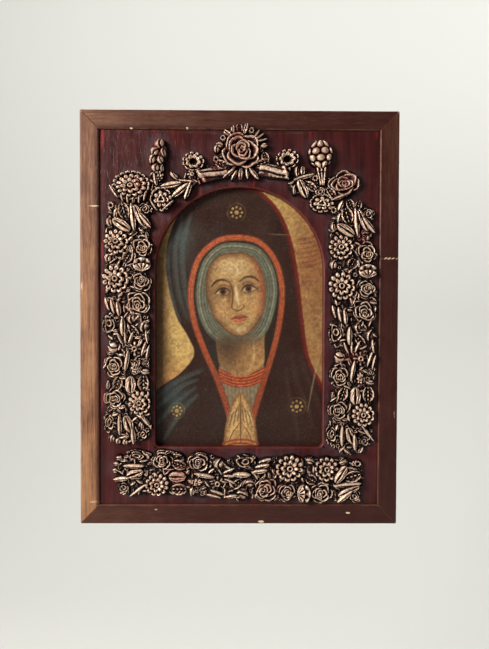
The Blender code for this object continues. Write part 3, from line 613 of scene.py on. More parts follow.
def lay_right(across, down):
    """This strip bows out a little and is squeezed together at its foot."""
    bow = 3.0 * math.sin(math.pi * min(max(down / STRIP_LENGTH, 0), 1))
    below = np.interp(down, (-4, 26, 140, STRIP_LENGTH), (54.8, 85.5, 203.0, 210.5))
    return 53.7 + across + bow, float(below)


def lay_bottom(across, down):
    """On its side, its top end at the right, rising a little at the left."""
    places_down = (0, 26, 78, 104, 125, STRIP_LENGTH)
    places_across = (77.5, 55.0, 3.5, -25.0, -48.5, -79.0)
    lift = 4.0 * min(max((down - 75) / 45, 0), 1)
    return float(np.interp(down, places_down, places_across)), 216.8 + 0.96 * across - lift


def lay_crest(across, down):
    return across, down


def laid(motifs, lay, turned=0.0):
    """The motifs on the panel: kind, x, z, half sizes, turn, rise and details."""
    placed = []
    for kind, across, down, half_width, half_length, turn, rise, *details in motifs:
        x, below = lay(across, down)
        extra = dict(details[0]) if details else {}
        if kind == "rose" and half_width < 5:
            extra["tiers"] = BUD_TIERS
        placed.append((kind, x, TOP - below, half_width, half_length, turn + turned, rise, extra))
    return placed


def local(motif, x, z):
    """Panel millimetres as the motif's own u and v."""
    _, centre_x, centre_z, half_width, half_length, turn = motif[:6]
    angle = math.radians(turn)
    right = (x - centre_x) * math.cos(angle) + (z - centre_z) * math.sin(angle)
    up = (z - centre_z) * math.cos(angle) - (x - centre_x) * math.sin(angle)
    return right / half_width, -up / half_length


# %% [markdown]
# ## From formulas to one skin
# The formulas are sampled on a fine square grid, a quarter of a millimetre apart, and the
# highest form wins at each point, as where one petal lies over another. Square cells
# would leave a stair-stepped outline, so the outermost points slide onto the true
# outline. Walls then run down to the board and a flat back closes the skin.

# %% Relief builder
LEAF_POWERS = {"leaf": 0.75, "strand": 0.55, "tulip": 0.45}


def inside_by(motif, u, v):
    """How far a point is inside a motif's outline in millimetres, and negative outside."""
    kind, least = motif[0], min(motif[3], motif[4])
    if kind in LEAF_POWERS:
        half = np.clip(1 - v * v, 0, 1) ** LEAF_POWERS[kind]
        beyond = np.clip(np.abs(v) - 1, 0, None) * motif[4]
        return (half - np.abs(u)) * motif[3] - beyond
    if kind == "finial":
        bulb = (1 - np.hypot(u, (v - BULB_MIDDLE) / BULB_REACH)) * motif[3]
        stalk = np.minimum((stalk_half(v) - np.abs(u)) * motif[3], (1 - np.abs(v)) * motif[4])
        return np.maximum(bulb, stalk)
    if kind == "ribbon":
        return np.minimum((0.9 - np.abs(u)) * motif[3], (1 - np.abs(v)) * motif[4])
    return (1 - np.hypot(u, v)) * least


ROLL = 0.6
ROLL_DEEP = 0.5


def sample(motifs, x, z):
    """The distance inside the outline and the height of the relief at every point."""
    inside = np.full(x.shape, -99.0)
    height = np.zeros(x.shape)
    for motif in motifs:
        reach = 1.02 * math.hypot(motif[3], motif[4])
        near = (np.abs(x - motif[1]) < reach) & (np.abs(z - motif[2]) < reach)
        u, v = local(motif, x[near], z[near])
        deep = inside_by(motif, u, v)
        form = FORMULAS[motif[0]](u, v, **motif[7])
        if motif[0] != "web":
            form = form * (1 - ROLL_DEEP * (1 - smooth_step(deep, 0, ROLL)))
        inside[near] = np.maximum(inside[near], deep)
        height[near] = np.maximum(height[near], np.where(deep > 0, form * motif[6], 0))
    return inside, height


def blurred(grid, radius):
    """A soft average of a grid over about radius cells."""
    offsets = np.arange(-3 * radius, 3 * radius + 1)
    weights = np.exp(-0.5 * (offsets / radius) ** 2)
    weights /= weights.sum()
    for axis in (0, 1):
        grid = np.apply_along_axis(lambda row: np.convolve(row, weights, "same"), axis, grid)
    return grid


def grown(mask):
    """A mask let out by one cell all round."""
    wide = np.pad(mask, 1)
    shifts = [wide[1 + i : wide.shape[0] - 1 + i, 1 + j : wide.shape[1] - 1 + j]
              for i in (-1, 0, 1) for j in (-1, 0, 1)]
    return np.logical_or.reduce(shifts)


def onto_outline(motifs, x, z, step):
    """Moves points that lie just outside onto the outline."""
    for _ in range(3):
        here = sample(motifs, x, z)[0]
        slope_x = (sample(motifs, x + 0.02, z)[0] - here) / 0.02
        slope_z = (sample(motifs, x, z + 0.02)[0] - here) / 0.02
        size2 = np.maximum(slope_x**2 + slope_z**2, 0.2)
        pull = np.clip(-here / size2, -step, step)
        x, z = x + pull * slope_x, z + pull * slope_z
    return x, z


def rim_of(quads):
    """The directed edges that only one cell uses."""
    edges = np.concatenate([quads[:, [i, (i + 1) % 4]] for i in range(4)])
    found = {(int(a), int(b)) for a, b in edges}
    return [(a, b) for a, b in found if (b, a) not in found]


BOARD_FRONT = -28.5
RAIL_FRONT = -30.0
RAIL_REACH = 12.3


def back_of(z):
    """Where the casting's back lies: on the board, or on the top rail where it crosses it."""
    return np.where(np.asarray(z) > TOP - RAIL_REACH, RAIL_FRONT, BOARD_FRONT)


FILLER_PITCH = 2.5
FILLER_KINDS = ("leaf", "strand", "leaf", "bud", "tulip", "wreath", "strand")


def field(motifs):
    """The rectangle that holds all motifs: low x, high x, low z, high z."""
    reach = max(max(m[3], m[4]) for m in motifs)
    across, up = [m[1] for m in motifs], [m[2] for m in motifs]
    return min(across) - reach, max(across) + reach, min(up) - reach, max(up) + reach


def fillers(motifs, seed):
    """Small leaves and buds for the gaps: low, packed close and turned every way."""
    random = np.random.default_rng(seed)
    low_x, high_x, low_z, high_z = field(motifs)
    x, z = np.meshgrid(np.arange(low_x, high_x, FILLER_PITCH), np.arange(low_z, high_z, FILLER_PITCH))
    x, z = x.ravel() + random.uniform(-0.9, 0.9, x.size), z.ravel() + random.uniform(-0.9, 0.9, x.size)
    within, covered = np.full(x.shape, -99.0), np.full(x.shape, -99.0)
    for motif in motifs:
        deep = inside_by(motif, *local(motif, x, z))
        within = np.maximum(within, deep)
        if motif[0] != "web":
            covered = np.maximum(covered, deep)
    found = []
    for spot_x, spot_z in zip(x[(within > 0.2) & (covered < 1.0)], z[(within > 0.2) & (covered < 1.0)]):
        kind = FILLER_KINDS[random.integers(len(FILLER_KINDS))]
        wide, long = random.uniform(1.0, 1.8), random.uniform(1.9, 3.0)
        if kind == "wreath":
            wide = long = random.uniform(1.4, 2.0)
        turn, rise = random.uniform(0, 360), random.uniform(2.4, 3.8)
        found.append((kind, spot_x, spot_z, wide, long, turn, rise, {}))
    return found


def relief(motifs, pitch, seed):
    """Points, faces and rub values of one closed casting."""
    low_x, high_x, low_z, high_z = field(motifs)
    x, z = np.meshgrid(np.arange(low_x, high_x, pitch), np.arange(low_z, high_z, pitch))
    inside, height = sample(motifs, x, z)
    mask = inside > 0
    height = np.maximum(height, sample(fillers(motifs, seed), x, z)[1])
    rough = 0.22 * soft_noise(x, z, 1.3, seed) + 0.15 * soft_noise(x, z, 0.6, seed + 1)
    height = np.where(mask, np.maximum(height + rough, 0.7), 0)
    share = blurred(mask * 1.0, 4) + 1e-6
    proud = height - blurred(height, 4) / share
    hollow = blurred(height, 9) / (blurred(mask * 1.0, 9) + 1e-6)

    near = grown(mask) & ~mask
    neighbours = blurred_by_one(height * mask) / np.maximum(blurred_by_one(mask * 1.0), 1e-6)
    height = np.where(near, 0.75 * neighbours, height)
    x[near], z[near] = onto_outline(motifs, x[near], z[near], 0.7 * pitch)

    number = np.full(mask.shape, -1)
    used = mask | near
    number[used] = np.arange(used.sum())
    corners = np.stack((number[:-1, :-1], number[:-1, 1:], number[1:, 1:], number[1:, :-1]), -1)
    cells = mask[:-1, :-1] | mask[:-1, 1:] | mask[1:, 1:] | mask[1:, :-1]
    quads = corners[cells]
    back = back_of(z[used])
    points = np.stack((x[used], back - height[used], z[used]), -1)
    values = {
        "proud": np.clip(0.5 + proud[used] / 1.6, 0, 1),
        "raised": np.clip((height[used] - hollow[used]) / 3.0 + 0.5, 0, 1),
        "tall": np.clip(height[used] / 6.0, 0, 1),
    }
    return close_back(motifs, points, quads, values)


def blurred_by_one(grid):
    """The sum over each point and its eight neighbours."""
    wide = np.pad(grid, 1)
    rows, columns = grid.shape
    return sum(wide[i : i + rows, j : j + columns] for i in range(3) for j in range(3))


def close_back(motifs, points, quads, values):
    """Adds walls down to the board and a flat back."""
    rim = rim_of(quads)
    ends = sorted({a for edge in rim for a in edge})
    twin = {a: len(points) + i for i, a in enumerate(ends)}
    flat = points[ends].copy()
    flat[:, 1] = back_of(flat[:, 2])
    walls = [(b, a, twin[a], twin[b]) for a, b in rim]
    order = {a: i for i, a in enumerate(ends)}
    outline = [(order[a], order[b]) for a, b in rim]
    spots = [(float(p[0]), float(p[2])) for p in flat]
    cut, _, triangles, origins, _, _ = delaunay_2d_cdt(spots, outline, [], 1, 1e-7)
    cut = np.array(cut)
    number = []
    for spot, origin in zip(cut, origins):
        if not origin:
            flat = np.vstack((flat, (spot[0], back_of(spot[1]), spot[1])))
        number.append(len(points) + (origin[0] if origin else len(flat) - 1))
    middles = cut[np.array(triangles)].mean(axis=1)
    keep = sample(motifs, middles[:, 0], middles[:, 1])[0] > 0
    backs = [[number[i] for i in t[::-1]] for t, k in zip(triangles, keep) if k]
    points = np.vstack((points, flat))
    values = {key: np.append(data, np.zeros(len(flat))) for key, data in values.items()}
    return points, quads.tolist() + walls + backs, values

# %% [markdown]
# ## Shader helpers and shared effects
# Nodes can be placed by hand in the shader editor. Two small helpers do the same in one
# line each, so a material reads like a recipe. Effects that several finishes share are
# node groups: an uneven mask, wood grain, rubbed edges and dust.

# %% Node helpers


def add(tree, kind, inputs=None, **settings):
    """Adds a node. Each input is a plain value or another node's output."""
    new = tree.nodes.new(kind)
    for key, value in settings.items():
        setattr(new, key, value)
    for key, value in (inputs or {}).items():
        if isinstance(value, bpy.types.NodeSocket):
            tree.links.new(value, new.inputs[key])
        else:
            new.inputs[key].default_value = value
    return new


def mixed(tree, factor, first, second, blend="MIX"):
    inputs = {0: factor, 6: first, 7: second}
    return add(tree, "ShaderNodeMix", inputs, data_type="RGBA", blend_type=blend).outputs[2]


def maths(tree, operation, first, second=0.0):
    return add(tree, "ShaderNodeMath", {0: first, 1: second}, operation=operation).outputs[0]


def spread(tree, value, start, end, low=0.0, high=1.0):
    """Stretches the range from start to end over the range from low to high."""
    inputs = {"Value": value, "From Min": start, "From Max": end, "To Min": low, "To Max": high}
    return add(tree, "ShaderNodeMapRange", inputs).outputs["Result"]


def noise(tree, where, scale, detail=4.0, roughness=0.55):
    inputs = {"Vector": where, "Scale": scale, "Detail": detail, "Roughness": roughness}
    return add(tree, "ShaderNodeTexNoise", inputs).outputs["Fac"]


def coordinates(tree, stretch=(1, 1, 1)):
    """Object coordinates in metres, stretched along the axes."""
    where = add(tree, "ShaderNodeTexCoord").outputs["Object"]
    return add(tree, "ShaderNodeMapping", {"Vector": where, "Scale": stretch}).outputs["Vector"]


def stored(tree, name, output="Fac"):
    return add(tree, "ShaderNodeAttribute", attribute_name=name).outputs[output]


def start_group(name, inputs, outputs):
    """An empty node group with named sockets."""
    group = bpy.data.node_groups.new(name, "ShaderNodeTree")
    for label, value in inputs.items():
        kind = "NodeSocketFloat" if isinstance(value, float) else "NodeSocketColor"
        group.interface.new_socket(label, in_out="INPUT", socket_type=kind).default_value = value
    for label, kind in outputs.items():
        group.interface.new_socket(label, in_out="OUTPUT", socket_type=kind)
    ports = group.nodes.new("NodeGroupInput").outputs, group.nodes.new("NodeGroupOutput").inputs
    return group, *ports


def use_group(tree, group, **inputs):
    """Places a group. Underscores in the keywords stand for spaces in the socket names."""
    named = {key.replace("_", " "): value for key, value in inputs.items()}
    return add(tree, "ShaderNodeGroup", named, node_tree=group).outputs


def linear(red, green, blue):
    """A screen colour from 0 to 255 as the linear colour that shaders use."""
    values = np.array((red, green, blue)) / 255
    low, high = values / 12.92, ((values + 0.055) / 1.055) ** 2.4
    return (*np.where(values < 0.04045, low, high).tolist(), 1.0)


print("helpers ready")

# %% Shared effects
FLOAT = "NodeSocketFloat"
COLOUR = "NodeSocketColor"

# A soft blotchy mask
uneven, given, result = start_group("uneven", {"Scale": 60.0, "Low": 0.4, "High": 0.6}, {"Mask": FLOAT})
cloud = noise(uneven, coordinates(uneven), given["Scale"], 6.0, 0.6)
blotch = spread(uneven, cloud, given["Low"], given["High"])
uneven.links.new(blotch, result["Mask"])

# Edges rubbed bare: a stored edge value, broken up by two sizes of noise
rubbed, given, result = start_group("rubbed", {"Edge": 0.0, "Amount": 0.5}, {"Mask": FLOAT})
coarse = noise(rubbed, coordinates(rubbed), 140.0, 5.0)
fine = noise(rubbed, coordinates(rubbed), 1500.0, 3.0)
broken = maths(rubbed, "ADD", maths(rubbed, "MULTIPLY", coarse, 0.7), maths(rubbed, "MULTIPLY", fine, 0.5))
level = maths(rubbed, "ADD", maths(rubbed, "MULTIPLY", given["Edge"], given["Amount"]), broken)
rubbed.links.new(spread(rubbed, level, 0.86, 1.06), result["Mask"])

# Dust: pale grey-blue specks and a thin film in patches
dusty, given, result = start_group(
    "dusty",
    {"Color": (0.1, 0.05, 0.04, 1.0), "Film": (0.16, 0.15, 0.16, 1.0), "Amount": 0.3},
    {"Color": COLOUR, "Mask": FLOAT},
)
patches = spread(dusty, noise(dusty, coordinates(dusty), 90.0, 5.0), 0.35, 0.75)
specks = spread(dusty, noise(dusty, coordinates(dusty), 1900.0, 2.0, 0.7), 0.60, 0.76)
film = maths(dusty, "ADD", maths(dusty, "MULTIPLY", patches, 0.75), maths(dusty, "MULTIPLY", specks, 0.9))
settled = maths(dusty, "MINIMUM", maths(dusty, "MULTIPLY", film, given["Amount"]), 1.0)
dusty.links.new(mixed(dusty, settled, given["Color"], given["Film"]), result["Color"])
dusty.links.new(settled, result["Mask"])

# Wood grain: long streaks along z, or along x when the mask is asked for across
grain, given, result = start_group("grain", {"Across": 0.0}, {"Streaks": FLOAT, "Pores": FLOAT})
STREAK_STRETCH = 14.0
upright = coordinates(grain, (STREAK_STRETCH, STREAK_STRETCH, 1))
level_way = coordinates(grain, (1, STREAK_STRETCH, STREAK_STRETCH))
where = mixed(grain, given["Across"], upright, level_way)
streaks = noise(grain, where, 26.0, 6.0, 0.62)
pores = spread(grain, noise(grain, where, 160.0, 2.0, 0.5), 0.60, 0.72)
grain.links.new(streaks, result["Streaks"])
grain.links.new(pores, result["Pores"])
print("effects:", [g.name for g in bpy.data.node_groups])

# %% [markdown]
# ## The castings' finish
# The castings are resin painted nearly black, then dry-brushed with bronze: the brush
# only touches what stands proud, so the paint shows every petal's rim. The mesh stores
# how proud each point is. A second, weaker pass catches the tops of whole flowers. The
# lowest spots, in the hollows between and inside the flowers, take a painted shade that
# is darker than the black paint. A few rims were touched with red before the bronze went on.

# %% Bronzed casting
UMBER = linear(36, 15, 12)
HOLLOW_SHADE = linear(8, 5, 5)
BRONZE = linear(224, 192, 168)
BRONZE_DARK = linear(98, 62, 50)
RED_TOUCH = linear(138, 46, 40)


def start_material(name):
    material = bpy.data.materials.new(name)
    material.use_nodes = True
    return material, material.node_tree, material.node_tree.nodes["Principled BSDF"]


def wire(tree, shader, **inputs):
    """Feeds the shader: underscores stand for spaces, plain values are set directly."""
    for key, value in inputs.items():
        socket = shader.inputs[key.replace("_", " ")]
        if isinstance(value, bpy.types.NodeSocket):
            tree.links.new(value, socket)
        else:
            socket.default_value = value


def bumped(tree, height, strength, distance=0.0004):
    inputs = {"Height": height, "Strength": strength, "Distance": distance}
    return add(tree, "ShaderNodeBump", inputs).outputs["Normal"]


def bronzed_material():
    material, tree, shader = start_material("bronzed casting")
    proud, raised, red = stored(tree, "proud"), stored(tree, "raised"), stored(tree, "red")
    patch = use_group(tree, uneven, Scale=75.0, Low=0.36, High=0.66)["Mask"]
    fine = noise(tree, coordinates(tree), 2300.0, 3.0)
    high = maths(tree, "ADD", maths(tree, "MULTIPLY", proud, 0.9), maths(tree, "MULTIPLY", raised, 0.42))
    high = maths(tree, "ADD", high, maths(tree, "MULTIPLY", fine, 0.20))
    high = maths(tree, "ADD", high, maths(tree, "MULTIPLY", stored(tree, "tall"), 0.22))
    high = maths(tree, "ADD", high, maths(tree, "MULTIPLY", patch, 0.10))
    wash = spread(tree, high, 0.92, 1.16)
    brush = spread(tree, high, 1.03, 1.30)
    # Painted shade: where high is low, in the hollows between and inside the flowers, the colour goes to a near-black
    # shade darker than the umber paint
    base = mixed(tree, spread(tree, high, 0.50, 0.85), HOLLOW_SHADE, UMBER)
    base = mixed(tree, wash, base, BRONZE_DARK)
    touched = maths(tree, "MULTIPLY", red, spread(tree, high, 0.60, 0.90))
    base = mixed(tree, touched, base, RED_TOUCH)
    thinned = maths(tree, "MULTIPLY", brush, spread(tree, red, 0.0, 1.0, 1.0, 0.45))
    base = mixed(tree, thinned, base, BRONZE)
    dust = use_group(tree, dusty, Color=base, Film=linear(120, 116, 122), Amount=0.06)
    metal = maths(tree, "MULTIPLY", thinned, 0.40)
    rough = spread(tree, brush, 0.0, 1.0, 0.50, 0.36)
    wire(tree, shader, Base_Color=dust["Color"], Metallic=metal, Roughness=rough)
    wire(tree, shader, Specular_IOR_Level=spread(tree, wash, 0.0, 1.0, 0.12, 0.50))
    wire(tree, shader, Normal=bumped(tree, fine, 0.25))
    return material


bronzed = bronzed_material()
print("material:", bronzed.name)

# %% [markdown]
# ## The four castings
# Each casting samples its laid-out flowers on the grid. Red touches are stored as soft
# round spots at a few places of the crest and low on the strips.

# %% Build the castings
PITCH = 0.26
RED_SPOTS = (
    (1.2, -22.3, 13.5, 0.55), (-2.0, -12.0, 4.0, 1.0), (0.4, -40.1, 3.0, 1.0),
    (-15.2, -30.1, 3.0, 0.9), (-23.3, -42.6, 4.0, 1.0), (-51.0, -20.0, 5.0, 0.7),
    (50.4, -22.0, 6.0, 0.7), (66.5, -42.0, 7.0, 0.8), (-63.8, -43.0, 4.0, 0.8),
    (-37.4, -226.0, 6.0, 0.9), (76.3, -75.6, 4.0, 0.8), (-72.0, -120.0, 5.0, 0.5),
    (70.0, -150.0, 6.0, 0.5), (20.0, -232.0, 6.0, 0.5),
)


def red_at(points):
    """How much red shows at each point, from soft round spots."""
    spots = [a * np.exp(-(((points[:, 0] - x) ** 2 + (points[:, 2] - z) ** 2) / r**2))
             for x, z, r, a in RED_SPOTS]
    return np.max(spots, axis=0)


# Each casting: its motifs, how much of its bronze shows (less on the castings away from the window light, a painted
# shade), and its own random number
CASTINGS = {
    "casting_left": (laid(STRIP + STRIP_WEB + STRIP_HEM, lay_left), 1.0, 11),
    "casting_right": (laid(STRIP + STRIP_WEB + STRIP_CAP, lay_right), 0.87, 21),
    "casting_bottom": (laid(STRIP + STRIP_WEB + STRIP_HEM, lay_bottom, -90), 0.87, 31),
    "casting_crest": (laid(CREST + CREST_WEB + tuple(rose_leaves()), lay_crest), 0.90, 41),
}
for node, (motifs, shade_by_falloff, seed) in CASTINGS.items():
    points, faces, values = relief(motifs, PITCH, seed)
    values["red"] = red_at(points)
    # Painted shade: the right, bottom and crest castings keep less of their bronze, as if the light fell off away
    # from the window
    values["proud"] = values["proud"] * shade_by_falloff
    make_piece("fine_" + node, points, faces, bronzed, node, values)

# %% [markdown]
# ## The rails
# The battens were sawn, mitred at the corners, stained red-brown and knocked about. On the
# left rail a bronze wax was rubbed over the stain, and a painted sheen of the window light
# lies over it too. Each one is a profile drawn along its
# length: rounded arrises, a face that wavers by a tenth of a millimetre, and small dents
# and nicks where the photograph shows them. The ends follow the mitre exactly.

# %% Rail shapes
WIDTH, HEIGHT, DEPTH = 200.0, 260.0, 30.0
RAIL_FACE = 12.0
LAND = 7.0
REBATE_DEPTH = 8.0
GAP = 0.3
CENTRE_Z = TOP - HEIGHT / 2
FACE_STEPS = 22
ARRIS = 0.9
ARRIS_STEPS = 5


def quarter(centre, radius, start, steps):
    """A rounded corner as points (inset, y), a quarter turn from the start angle."""
    angles = np.radians(np.linspace(start, start + 90, steps + 1))
    return [(centre[0] + radius * math.cos(a), centre[1] + radius * math.sin(a)) for a in angles]


def rail_profile():
    """The rail's cross-section round once, from the wall side over the front."""
    outer = quarter((ARRIS, -DEPTH + ARRIS), ARRIS, 180, ARRIS_STEPS)
    face = [(a, -DEPTH) for a in np.linspace(ARRIS, RAIL_FACE - ARRIS, FACE_STEPS)[1:-1]]
    inner = quarter((RAIL_FACE - ARRIS, -DEPTH + ARRIS), ARRIS, 270, ARRIS_STEPS)
    side = [(0, y) for y in np.linspace(0, -DEPTH + ARRIS, 12)[:-1]]
    land = [(RAIL_FACE, -20), (RAIL_FACE, -REBATE_DEPTH), (LAND, -REBATE_DEPTH), (LAND, 0)]
    return np.array(side + outer + face + inner + land)


# Nicks and dents: along, inset, length, width, depth, bare wood, in the rail's own frame
NICKS = {
    "rail_top": ((-68, 11.6, 1.1, 0.6, 0.5, 1.0), (-33, 11.5, 0.6, 0.9, 0.5, 1.0), (41, 5.0, 3.0, 0.5, 0.1, 0.3)),
    "rail_right": ((-38, 6.0, 0.4, 6.0, 0.12, 0.8), (60, 2.0, 4.0, 0.8, 0.2, 0.4)),
    "rail_bottom": ((-14, 1.4, 2.4, 0.8, 0.35, 1.0), (-69, 7.0, 1.8, 0.7, 0.25, 0.9), (52, 9.0, 2.0, 0.8, 0.2, 0.5)),
    "rail_left": ((70, 9.0, 0.5, 5.0, 0.25, 1.0), (-116, 8.0, 0.4, 5.0, 0.15, 0.8), (20, 1.2, 5.0, 0.8, 0.25, 0.5)),
}
RAILS = {"rail_top": (WIDTH, 0), "rail_right": (HEIGHT, 90), "rail_bottom": (WIDTH, 180), "rail_left": (HEIGHT, 270)}
STEPS_PER_RAIL = 330


def turned_out(along, high, degrees):
    """From the top rail's frame to the place of any rail."""
    turn = math.radians(degrees)
    x = along * math.cos(turn) + high * math.sin(turn)
    return x, high * math.cos(turn) - along * math.sin(turn) + CENTRE_Z


def rail(name, length, degrees, seed):
    profile = rail_profile()
    inset, y = profile[:, 0], profile[:, 1]
    reach = length / 2 - inset - GAP / 2 * math.sqrt(2)
    t = np.linspace(-1, 1, STEPS_PER_RAIL)
    along = t[:, None] * reach[None, :]
    inset, y = np.broadcast_to(inset, along.shape), np.broadcast_to(y, along.shape).copy()
    front = smooth_step(-y, DEPTH - 2.2, DEPTH - 1.2)
    nick = np.zeros(along.shape)
    for centre, across, half_length, half_width, depth, bare in NICKS[name]:
        far = ((along - centre) / half_length) ** 2 + ((inset - across) / half_width) ** 2
        pit = np.exp(-far * 1.4) * front
        y += depth * pit
        nick = np.maximum(nick, bare * pit)
    y += front * 0.07 * (1 + soft_noise(along, inset, 9.0, seed))
    y += front * 0.03 * (1 + soft_noise(along, inset, 2.2, seed + 1))
    side = 0.10 * (1 + soft_noise(along, y, 7.0, seed + 2)) * (inset < 0.05) * (y < -1)
    other = HEIGHT if length == WIDTH else WIDTH
    x, z = turned_out(along, other / 2 - inset - side, degrees)
    from_arris = np.minimum(inset, RAIL_FACE - inset)
    to_end = np.minimum(reach[None, :] - np.abs(along), 40)
    arris = np.exp(-from_arris / 0.7) * front * (y > -DEPTH - 1)
    edge = np.maximum(arris, 0.9 * np.exp(-to_end / 0.5) * front)
    values = {"edge": edge.ravel(), "bare": nick.ravel(), "across": (inset / RAIL_FACE).ravel()}
    values["along"] = along.ravel()
    rows, count = along.shape
    index = np.arange(rows * count).reshape(rows, count)
    loop = np.roll(index, -1, axis=1)
    quads = np.stack((index[:-1], loop[:-1], loop[1:], index[1:]), -1).reshape(-1, 4)
    caps = [index[0, ::-1].tolist(), index[-1].tolist()]
    points = np.stack((x.ravel(), y.ravel(), z.ravel()), -1)
    return points, quads.tolist() + caps, values


# %% [markdown]
# The stain is darker where the light of the room never reached and where hands polished
# it; the bronze wax lies thick on the left rail, thins out along the top rail and is gone
# on the other two. A painted sheen of the window light on the left follows the same mask,
# so the left rail is lighter partly from wax and partly from painted light. The same
# material does all four: a mask over the place on the panel says how much wax and painted
# sheen there is.

# %% Stained and waxed rails, with a painted sheen
STAIN = linear(76, 31, 21)
STAIN_DARK = linear(42, 13, 9)
WAX_AND_SHEEN = linear(172, 126, 88)
WAX_THIN_AND_SHEEN = linear(118, 76, 54)
BARE_WOOD = linear(222, 196, 160)


def rail_material(name, across):
    """Stain over grain, then wax and a painted sheen in broad strokes, then wear on the arrises."""
    material, tree, shader = start_material(name)
    wood = use_group(tree, grain, Across=across)
    blotch = use_group(tree, uneven, Scale=38.0, Low=0.3, High=0.7)["Mask"]
    base = mixed(tree, wood["Streaks"], STAIN_DARK, STAIN)
    base = mixed(tree, maths(tree, "MULTIPLY", blotch, 0.5), base, STAIN_DARK)
    inner = spread(tree, stored(tree, "across"), 0.72, 0.98, 1.0, 0.25)
    drawn = coordinates(tree, (1, 22, 22) if across else (22, 22, 1))
    strokes = noise(tree, drawn, 42.0, 5.0, 0.65)
    hairs = noise(tree, drawn, 150.0, 3.0, 0.6)
    wax_and_sheen_cover = maths(tree, "ADD", maths(tree, "MULTIPLY", strokes, 0.75), maths(tree, "MULTIPLY", blotch, 0.25))
    wax_and_sheen_cover = maths(tree, "MULTIPLY", maths(tree, "MULTIPLY", wax_and_sheen_cover, inner), stored(tree, "wax_and_sheen"))
    wax_and_sheen_cover = maths(tree, "ADD", wax_and_sheen_cover, spread(tree, hairs, 0.0, 1.0, -0.16, 0.16))
    # Wax and painted sheen: lighter strokes, strongest on the left rail nearest the window light
    base = mixed(tree, spread(tree, wax_and_sheen_cover, 0.06, 0.40), base, WAX_THIN_AND_SHEEN)
    base = mixed(tree, spread(tree, wax_and_sheen_cover, 0.32, 0.62), base, WAX_AND_SHEEN)
    specks = spread(tree, noise(tree, coordinates(tree), 2600.0, 2.0, 0.6), 0.62, 0.74)
    base = mixed(tree, maths(tree, "MULTIPLY", specks, 0.35), base, STAIN_DARK)
    worn = use_group(tree, rubbed, Edge=stored(tree, "edge"), Amount=0.55)["Mask"]
    base = mixed(tree, maths(tree, "MULTIPLY", worn, 0.75), base, WAX_THIN_AND_SHEEN)
    chip = use_group(tree, rubbed, Edge=stored(tree, "bare"), Amount=0.9)["Mask"]
    base = mixed(tree, chip, base, BARE_WOOD)
    dust = use_group(tree, dusty, Color=base, Film=linear(150, 140, 136), Amount=0.03)
    rough = spread(tree, wood["Streaks"], 0.3, 0.7, 0.38, 0.55)
    surface = maths(tree, "SUBTRACT", wood["Streaks"], maths(tree, "MULTIPLY", wood["Pores"], 0.5))
    wire(tree, shader, Base_Color=dust["Color"], Roughness=rough, Specular_IOR_Level=0.30)
    wire(tree, shader, Normal=bumped(tree, surface, 0.28))
    return material


# How much wax and painted sheen of the window light there is along each rail, at a few places in the rail's own frame
WAX_AND_SHEEN_AMOUNT = {
    "rail_top": ((-100, 0.62), (-55, 0.36), (0, 0.22), (100, 0.12)),
    "rail_right": ((-130, 0.30), (-90, 0.22), (-30, 0.10), (130, 0.05)),
    "rail_bottom": ((-100, 0.05), (20, 0.10), (100, 0.28)),
    "rail_left": ((-130, 0.98), (0, 0.86), (60, 0.72), (130, 0.56)),
}
for number, (node, (length, degrees)) in enumerate(RAILS.items()):
    finish_name = node.replace("rail_", "") + " rail"
    material = rail_material(finish_name, float(length == WIDTH))
    points, faces, values = rail(node, length, degrees, 100 + 10 * number)
    values["wax_and_sheen"] = np.interp(values.pop("along"), *zip(*WAX_AND_SHEEN_AMOUNT[node]))
    make_piece("fine_" + node, points, faces, material, node, values, crease=50)

# %% [markdown]
# ## The board
# The board between the rails is painted a dark mahogany red over its upright grain, and
# it is glossier than the rails. Its window has a softly rounded lip that catches a
# reddish line of light, and a lighter red is painted along it, partly worn paint and
# partly a painted highlight. The front is cut into many small triangles so that it can store
# where dust gathers: close beside the castings, where no cloth reaches.

# %% Board shape
BOARD_BACK = -23.5
WINDOW_HALF = 53.0
WINDOW_SPRING = TOP - 100.5
WINDOW_FOOT = TOP - 211.5
WINDOW_CORNER = 3.0
LIP = 0.9
LIP_STEPS = 4
ARCH_STEPS = 96
BOARD_PITCH = 2.0


def arc(centre_x, centre_z, radius, start, end, steps):
    angles = np.radians(np.linspace(start, end, steps + 1))
    return [(centre_x + radius * math.cos(a), centre_z + radius * math.sin(a)) for a in angles]


def window_outline(ease):
    """The round-headed window, let out by ease all round."""
    half, corner = WINDOW_HALF + ease, WINDOW_CORNER + ease
    foot = WINDOW_FOOT - ease
    left = arc(-half + corner, foot + corner, corner, 180, 270, 6)
    right = arc(half - corner, foot + corner, corner, 270, 360, 6)
    head = arc(0, WINDOW_SPRING, half, 0, 180, ARCH_STEPS)
    return left + right + head


def in_window(x, z, ease):
    """True for points inside the window let out by ease."""
    half = WINDOW_HALF + ease
    upright = (np.abs(x) < half) & (z < WINDOW_SPRING) & (z > WINDOW_FOOT - ease)
    return upright | (np.hypot(x, z - WINDOW_SPRING) < half)


def dust_beside(x, z):
    """1 close beside the castings and 0 from about a centimetre away."""
    nearest = np.full(x.shape, -99.0)
    for motifs, _, _ in CASTINGS.values():
        for motif in motifs:
            nearest = np.maximum(nearest, inside_by(motif, *local(motif, x, z)))
    return np.exp(np.minimum(nearest, 0) / 3.5)


def ring_quads(first, second):
    """Faces between two loops of point numbers."""
    return [(first[i], first[i - 1], second[i - 1], second[i]) for i in range(len(first))]


